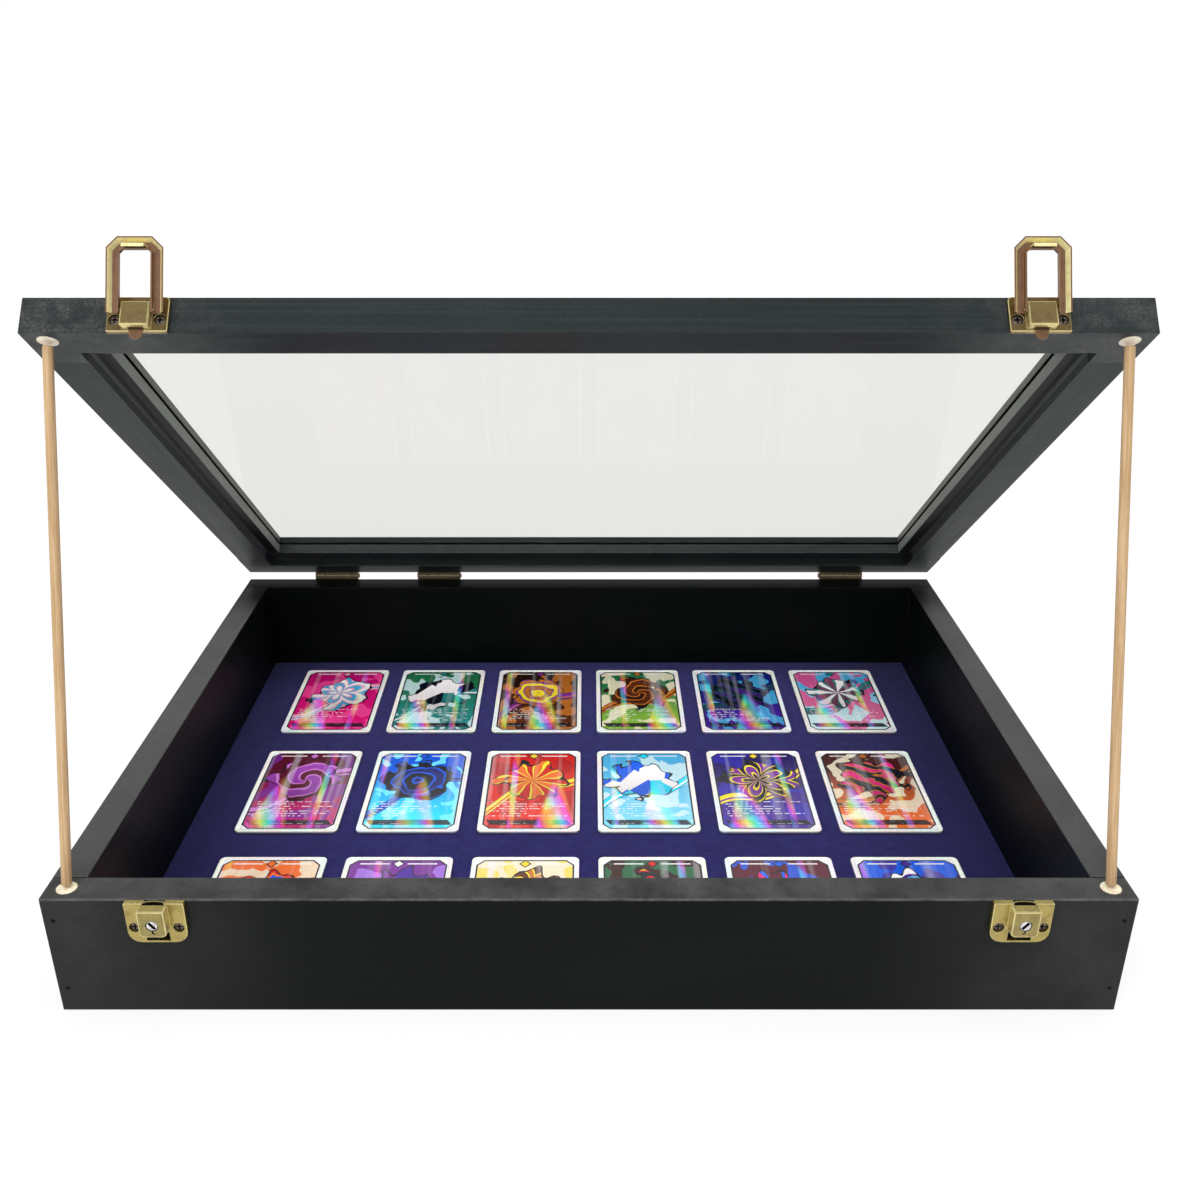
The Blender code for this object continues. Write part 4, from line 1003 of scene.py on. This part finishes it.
@dataclass
class BackHinges:
    """The three butt hinges with their countersunk screws behind the case."""

    screw_radius: float = 0.0021
    screw_sink: float = 0.00035
    slot_half: float = 0.0003
    arm: float = 0.0013
    burr: float = 0.00002
    spread: float = 0.0098
    screw_lift: float = 0.00008
    screw_turn: float = 0.4

    def cross_head(self, shape: Shape, where: Vector, turn: Matrix) -> None:
        """Adds one flat screw head with a pressed cross, facing out of the back.

        Args:
            shape: the mesh that it is added to.
            where: the middle of its face.
            turn: how it is turned from facing up.
        """
        head = bmesh.new()
        bmesh.ops.create_circle(head, cap_ends=True, segments=24, radius=self.screw_radius)
        for axis in (Vector((1.0, 0.0, 0.0)), Vector((0.0, 1.0, 0.0))):
            for offset in (-self.arm, -self.slot_half, self.slot_half, self.arm):
                bmesh.ops.bisect_plane(head, geom=head.verts[:] + head.edges[:] + head.faces[:],
                                       plane_co=axis * offset, plane_no=axis)
        cross = [face for face in head.faces if self.in_cross(face.calc_center_median())]
        pressed = bmesh.ops.inset_region(head, faces=cross, thickness=self.burr, depth=-self.screw_sink)
        for face in cross + pressed["faces"]:
            face.material_index = 1
        bmesh.ops.transform(head, matrix=Matrix.Translation(where) @ turn, verts=head.verts)
        carried = bpy.data.meshes.new("screw_head")
        head.to_mesh(carried)
        head.free()
        shape.from_mesh(carried)
        bpy.data.meshes.remove(carried)

    def in_cross(self, middle: Vector) -> bool:
        """Tells whether a part of the head lies in the arms of its cross."""
        near, far = sorted((abs(middle.x), abs(middle.y)))
        return near < self.slot_half and far < self.arm

    def screws(self, number: int, part: str, finishes: list[Finish]) -> None:
        """Sets two screws into one leaf.

        Args:
            number: the hinge's number.
            part: which leaf, case_leaf or lid_leaf.
            finishes: the heads' bronze and the dark of their crosses.
        """
        node = f"hinge_{number}_{part}"
        leaf = merged(node)
        flat = max((face for face in leaf.faces if face.normal.y > 0.3), key=lambda face: face.calc_area())
        middle, normal = flat.calc_center_median(), flat.normal.copy()
        leaf.free()
        low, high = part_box(node)
        turn = normal.to_track_quat("Z", "Y").to_matrix().to_4x4()
        shape = bmesh.new()
        for side in (-1, 1):
            where = Vector(((low.x + high.x) / 2 + side * self.spread, middle.y, middle.z))
            spin = Matrix.Rotation(side * self.screw_turn + number, 4, "Z")
            self.cross_head(shape, where + normal * self.screw_lift, turn @ spin)
        show(f"hinge_screws_{number}_{part}", shape, finishes, body_of(node), "screw_bronze")

    def build(self) -> None:
        """Dresses the hinges' leaves and pins and sets their screws."""
        aged = Metal("aged_hinge_brass", (0.25, 0.2, 0.12), (0.6, 0.5, 0.3), (0.11, 0.09, 0.065), 0.34).make()
        bronze = Metal("hinge_screw_bronze", (0.3, 0.24, 0.15), (0.5, 0.42, 0.28), (0.12, 0.1, 0.07),
                       0.35).make()
        recess = Recess("hinge_screw_recess").make()
        for number in (1, 2, 3):
            for part in ("case_leaf", "lid_leaf", "pin"):
                node = f"hinge_{number}_{part}"
                show(f"hinge_metal_{number}_{part}", merged(node), [aged], body_of(node), "hinge_metal", node)
            for part in ("case_leaf", "lid_leaf"):
                self.screws(number, part, [bronze, recess])


@dataclass
class KeyLatches:
    """The pressed brass key latches: plates, bails, cylinders and screws."""

    cross_reach: float = 0.0018
    cross_sink: float = 0.00035
    keyway_reach: float = 0.0024
    keyway_sink: float = 0.0008
    face_depth: float = 0.001
    tongue_reach: float = 0.0035
    boss_step: float = 0.001
    wall_depth: float = 0.0035
    lip_depth: float = 0.0028

    def plate(self, node: str, front: Vector, finishes: list[Finish]) -> None:
        """Dresses one pressed plate, with a painted highlight on its eased edges and walls, and its hollow
        back and tongue in brown, a painted dark reflection.

        Args:
            node: the plate's CAD node.
            front: the direction that the plate faces.
            finishes: those of its flat face, its raised face, its edges and walls, and its back and tongue.
        """
        shape = merged(node)
        along = Vector((0.0, front.z, -front.y))
        foot = min(vert.co.dot(along) for vert in shape.verts)
        top = max(vert.co.dot(front) for vert in shape.verts)

        def slot_of(face: Facet) -> int:
            """Names the slot by how far the face turns from the plate's front, and tells the tongue."""
            facing, depth = face.normal.dot(front), top - face.calc_center_median().dot(front)
            low = min(vert.co.dot(along) for vert in face.verts) < foot + self.tongue_reach
            if facing < BACKWARD or (low and front is LID_FRONT):
                return 3
            if facing > FORWARD:
                return int(depth < self.boss_step)
            return 2 if facing > SIDEWAYS or depth < self.wall_depth else 0
        show(f"{node}_brass", sort_faces(shape, slot_of), finishes, body_of(node), "latch_brass", node)

    def bail(self, node: str, finishes: list[Finish]) -> None:
        """Dresses one bail: brass outside, a painted highlight on its lip and flared wall, and a painted dark
        reflection in brown over its channel.

        Args:
            node: the bail's CAD node.
            finishes: those of its outside, its channel and its flared wall's inner face.
        """
        shape = merged(node)
        opening = max(shape.faces, key=lambda face: face.calc_area()).normal.copy()
        if opening.y > 0:
            opening.negate()
        top = max(vert.co.dot(opening) for vert in shape.verts)

        def slot_of(face: Facet) -> int:
            """Names the slot by how the face turns from the channel's opening, and how deep it lies."""
            facing, depth = face.normal.dot(opening), top - face.calc_center_median().dot(opening)
            if facing < BACKWARD:
                return 0
            if depth < self.lip_depth:
                return 2
            if facing < SIDEWAYS:
                return int(depth > self.wall_depth)
            return 2 if facing < SLOPING else 1
        show(f"{node}_stirrup", sort_faces(shape, slot_of), finishes, body_of(node), "latch_brass", node)

    def recessed(self, shape: Shape, front: Vector, reach: float, sink: float, depth: float) -> Shape:
        """Puts the inside of a screw's cross or a keyway in the second material slot.

        Args:
            shape: the turned piece.
            front: the direction that it faces.
            reach: how far from its axis the recess reaches.
            sink: how deep the recess's floor lies at least.
            depth: how deep its walls' middles lie at most.

        Returns:
            The same piece.
        """
        middle, top = middle_and_top(shape, front)

        def slot_of(face: Facet) -> int:
            """Tells the recess by its depth and its walls."""
            spot, facing = face.calc_center_median(), face.normal.dot(front)
            away = spot - middle
            inside = (away - front * away.dot(front)).length < reach
            wall = abs(facing) < 0.4 and spot.dot(front) > top - depth
            floor = facing > 0.9 and spot.dot(front) < top - sink
            return int(inside and (wall or floor))
        return sort_faces(shape, slot_of)

    def screw(self, node: str, front: Vector, finishes: list[Finish]) -> None:
        """Dresses one screw, with the inside of its cross dark."""
        shape = self.recessed(merged(node), front, self.cross_reach, self.cross_sink, 3 * self.cross_sink)
        show(f"{node}_bronze", shape, finishes, body_of(node), "screw_bronze", node)

    def cylinder(self, node: str, recess: Finish) -> None:
        """Dresses one lock cylinder, with the inside of its keyway dark.

        Args:
            node: the cylinder's CAD node.
            recess: the finish inside the keyway.
        """
        shape = merged(node)
        middle, top = middle_and_top(shape, CASE_FRONT)
        rim = [vert.co.x for vert in shape.verts if vert.co.dot(CASE_FRONT) > top - self.face_depth]
        radius = max(abs(spot - middle.x) for spot in rim)
        nickel = CylinderNickel(f"{node}_nickel_face", middle, radius).make()
        shape = self.recessed(shape, CASE_FRONT, self.keyway_reach, self.keyway_sink, math.inf)
        show(f"{node}_nickel", shape, [nickel, recess], body_of(node), "cylinder_steel", node)

    def build(self) -> None:
        """Dresses every piece of both latches."""
        # Each brass's edge colour is wear with a painted highlight.
        worn, soft, pale = (0.95, 0.86, 0.42), (0.8, 0.7, 0.32), (1.0, 0.96, 0.62)
        brasses = (Metal("aged_brass", (0.29, 0.2, 0.085), worn, (0.15, 0.09, 0.05), 0.26, cloud=0.007),
                   Metal("pressed_brass", (0.4, 0.29, 0.12), soft, (0.29, 0.185, 0.095), 0.24),
                   Metal("plate_brass", (0.44, 0.35, 0.115), worn, (0.28, 0.205, 0.075), 0.25, cloud=0.006),
                   Metal("dimmed_brass", (0.35, 0.285, 0.105), soft, (0.24, 0.18, 0.07), 0.28),
                   # Painted highlight on the plates' eased edges and walls.
                   Metal("rubbed_and_highlit_brass", (0.74, 0.64, 0.29), pale, (0.55, 0.44, 0.19), 0.22, metal=0.7),
                   # Painted highlight on the bails' lips and flared walls.
                   Metal("flare_highlight_brass", (1.0, 0.93, 0.47), pale, (0.85, 0.68, 0.3), 0.3, 0.0004, 0.003, 0.2),
                   # Painted dark reflection, in brown, in the bails' channels and on the plates' tongues and
                   # backs.
                   Metal("dark_reflection_brass", (0.235, 0.125, 0.068), (0.42, 0.27, 0.13), (0.15, 0.078, 0.05),
                         0.32, metal=0.45),
                   Metal("bronzed_screw", (0.21, 0.165, 0.14), (0.34, 0.28, 0.24), (0.1, 0.08, 0.07),
                         0.36, metal=0.6))
        aged, pressed, plain, dimmed, rubbed_and_highlit, flare_highlight, dark_reflection, bronze = (brass.make() for brass in brasses)
        recess = Recess("cross_and_keyway_dark").make()
        for side in SIDES:
            self.plate(f"lid_plate_{side}", LID_FRONT, [aged, pressed, rubbed_and_highlit, dark_reflection])
            self.plate(f"lock_plate_{side}", CASE_FRONT, [plain, dimmed, rubbed_and_highlit, dark_reflection])
            self.bail(f"bail_{side}", [plain, dark_reflection, flare_highlight])
            self.cylinder(f"lock_cylinder_{side}", recess)
            for number in (1, 2):
                self.screw(f"lid_screw_{side}_{number}", LID_FRONT, [bronze, recess])
                self.screw(f"lock_screw_{side}_{number}", CASE_FRONT, [bronze, recess])


@dataclass
class CardRows:
    """The foil cards, in three rows of six."""

    rim: float = 0.0019
    sunk: float = 0.0003
    corner: float = 0.0032
    easing: float = 0.00045
    first_seed: float = 0.37
    seed_step: float = 0.113

    def card(self, node: str, face_finish: Finish, rim_finish: Finish) -> None:
        """Builds one card: a thick board with round corners and a raised rim.

        Args:
            node: the card's CAD node.
            face_finish: the printed face's material.
            rim_finish: the material of the rim and the sides.
        """
        low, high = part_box(node)
        shape = bmesh.new()
        bmesh.ops.create_grid(shape, x_segments=1, y_segments=1, size=0.5)
        size = high - low
        bmesh.ops.scale(shape, vec=(size.x, size.y, 1.0), verts=shape.verts)
        bmesh.ops.bevel(shape, geom=list(shape.verts), offset=self.corner, segments=6, profile=0.5,
                        affect="VERTICES", material=-1)
        pulled = bmesh.ops.extrude_face_region(shape, geom=shape.faces[:])
        bottom = [item for item in pulled["geom"] if isinstance(item, bmesh.types.BMVert)]
        bmesh.ops.translate(shape, vec=(0.0, 0.0, -size.z), verts=bottom)
        bmesh.ops.recalc_face_normals(shape, faces=shape.faces)
        face = max(shape.faces, key=lambda each: each.calc_center_median().z)
        bmesh.ops.bevel(shape, geom=list(face.edges), offset=self.easing, segments=3, profile=0.5,
                        affect="EDGES", material=-1)
        upward = [each for each in shape.faces if each.normal.z > FORWARD]
        face = max(upward, key=lambda each: each.calc_area())
        for width, depth in ((self.rim - self.easing, 0.0), (self.sunk * 0.8, -self.sunk)):
            bmesh.ops.inset_region(shape, faces=[face], thickness=width, depth=depth)
        for each in shape.faces:
            each.smooth = each is not face
        face.material_index = 1
        middle = Vector(((low.x + high.x) / 2, (low.y + high.y) / 2, high.z))
        bmesh.ops.translate(shape, vec=middle, verts=shape.verts)
        show(f"foil_{node}", shape, [rim_finish, face_finish], "case", "card_foil", node)

    def build(self) -> None:
        """Prints and lays out every card."""
        silver = FoilRim("card_rim_silver").make()
        for number, (row, column, motif, ground, figure) in enumerate(PRINTS):
            node = f"card_{row}_{column}"
            low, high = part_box(node)
            printed = FoilPrint(f"foil_print_{row}_{column}", low, high, motif, ground, figure,
                                self.first_seed + self.seed_step * number)
            self.card(node, printed.make(), silver)


PINK, WHITE, TEAL = tone(222, 20, 120), tone(246, 240, 244), tone(40, 130, 130)
MAGENTA, WINE, PLUM = tone(190, 15, 110), tone(90, 8, 40), tone(120, 40, 150)
SKY, ICE, CYAN = tone(70, 170, 220), tone(205, 235, 240), tone(0, 215, 245)
BLUE, NAVY, NIGHT = tone(10, 90, 225), tone(15, 30, 110), tone(8, 12, 30)
BROWN, AMBER, YELLOW = tone(90, 42, 18), tone(190, 110, 40), tone(245, 215, 50)
RED, ORANGE, CREAM = tone(205, 25, 22), tone(240, 110, 40), tone(240, 228, 200)
GREEN, FERN, VIOLET = tone(30, 110, 70), tone(130, 175, 60), tone(70, 30, 150)

PRINTS: tuple[tuple[int, int, Motif, Trio, Trio], ...] = (
    (1, 1, Motif.LEAVES, (MAGENTA, PINK, tone(240, 70, 150)), (WHITE, tone(250, 160, 190), SKY)),
    (1, 2, Motif.CRYSTAL, (GREEN, TEAL, ICE), (NIGHT, TEAL, WHITE)),
    (1, 3, Motif.RINGS, (tone(40, 15, 8), BROWN, AMBER), (YELLOW, PLUM, AMBER)),
    (1, 4, Motif.SWIRL, (GREEN, FERN, CREAM), (BROWN, AMBER, tone(60, 30, 15))),
    (1, 5, Motif.WAVES, (NAVY, VIOLET, SKY), (NIGHT, tone(15, 70, 80), tone(60, 30, 110))),
    (1, 6, Motif.BURST, (SKY, ICE, PINK), (WHITE, TEAL, tone(120, 60, 90))),
    (2, 1, Motif.SWIRL, (WINE, MAGENTA, PLUM), (tone(150, 60, 170), tone(205, 120, 210), WINE)),
    (2, 2, Motif.RINGS, (BLUE, CYAN, tone(120, 240, 255)), (NAVY, BLUE, NIGHT)),
    (2, 3, Motif.BURST, (RED, tone(225, 45, 30), tone(170, 15, 18)), (ORANGE, YELLOW, RED)),
    (2, 4, Motif.CRYSTAL, (SKY, tone(120, 210, 240), ICE), (BLUE, CYAN, WHITE)),
    (2, 5, Motif.LEAVES, (tone(35, 20, 100), VIOLET, tone(50, 40, 170)), (NIGHT, YELLOW, PLUM)),
    (2, 6, Motif.WAVES, (tone(70, 20, 20), ORANGE, CREAM), (PINK, AMBER, NIGHT)),
    (3, 1, Motif.WAVES, (ORANGE, RED, CREAM), (RED, ORANGE, BLUE)),
    (3, 2, Motif.CRYSTAL, (PLUM, VIOLET, tone(170, 120, 230)), (PLUM, WHITE, VIOLET)),
    (3, 3, Motif.LEAVES, (CREAM, tone(200, 195, 190), YELLOW), (BROWN, YELLOW, AMBER)),
    (3, 4, Motif.RINGS, (tone(50, 10, 8), BROWN, GREEN), (YELLOW, RED, NIGHT)),
    (3, 5, Motif.BURST, (WINE, MAGENTA, BLUE), (PINK, BLUE, WINE)),
    (3, 6, Motif.SWIRL, (BLUE, CYAN, VIOLET), (SKY, VIOLET, WHITE)),
)


def main() -> None:
    """Builds the studio and every sub-assembly in order."""
    logging.basicConfig(level=logging.INFO, format="%(message)s")
    bpy.context.scene.view_settings.view_transform = "Standard"
    for part in (Studio, PhotoCamera, CaseBox, GlassLid, PropRods, BackHinges, KeyLatches, CardRows):
        part().build()
    bpy.context.view_layer.update()
    LOG.info("sizes written")


if __name__ == "__main__":
    main()
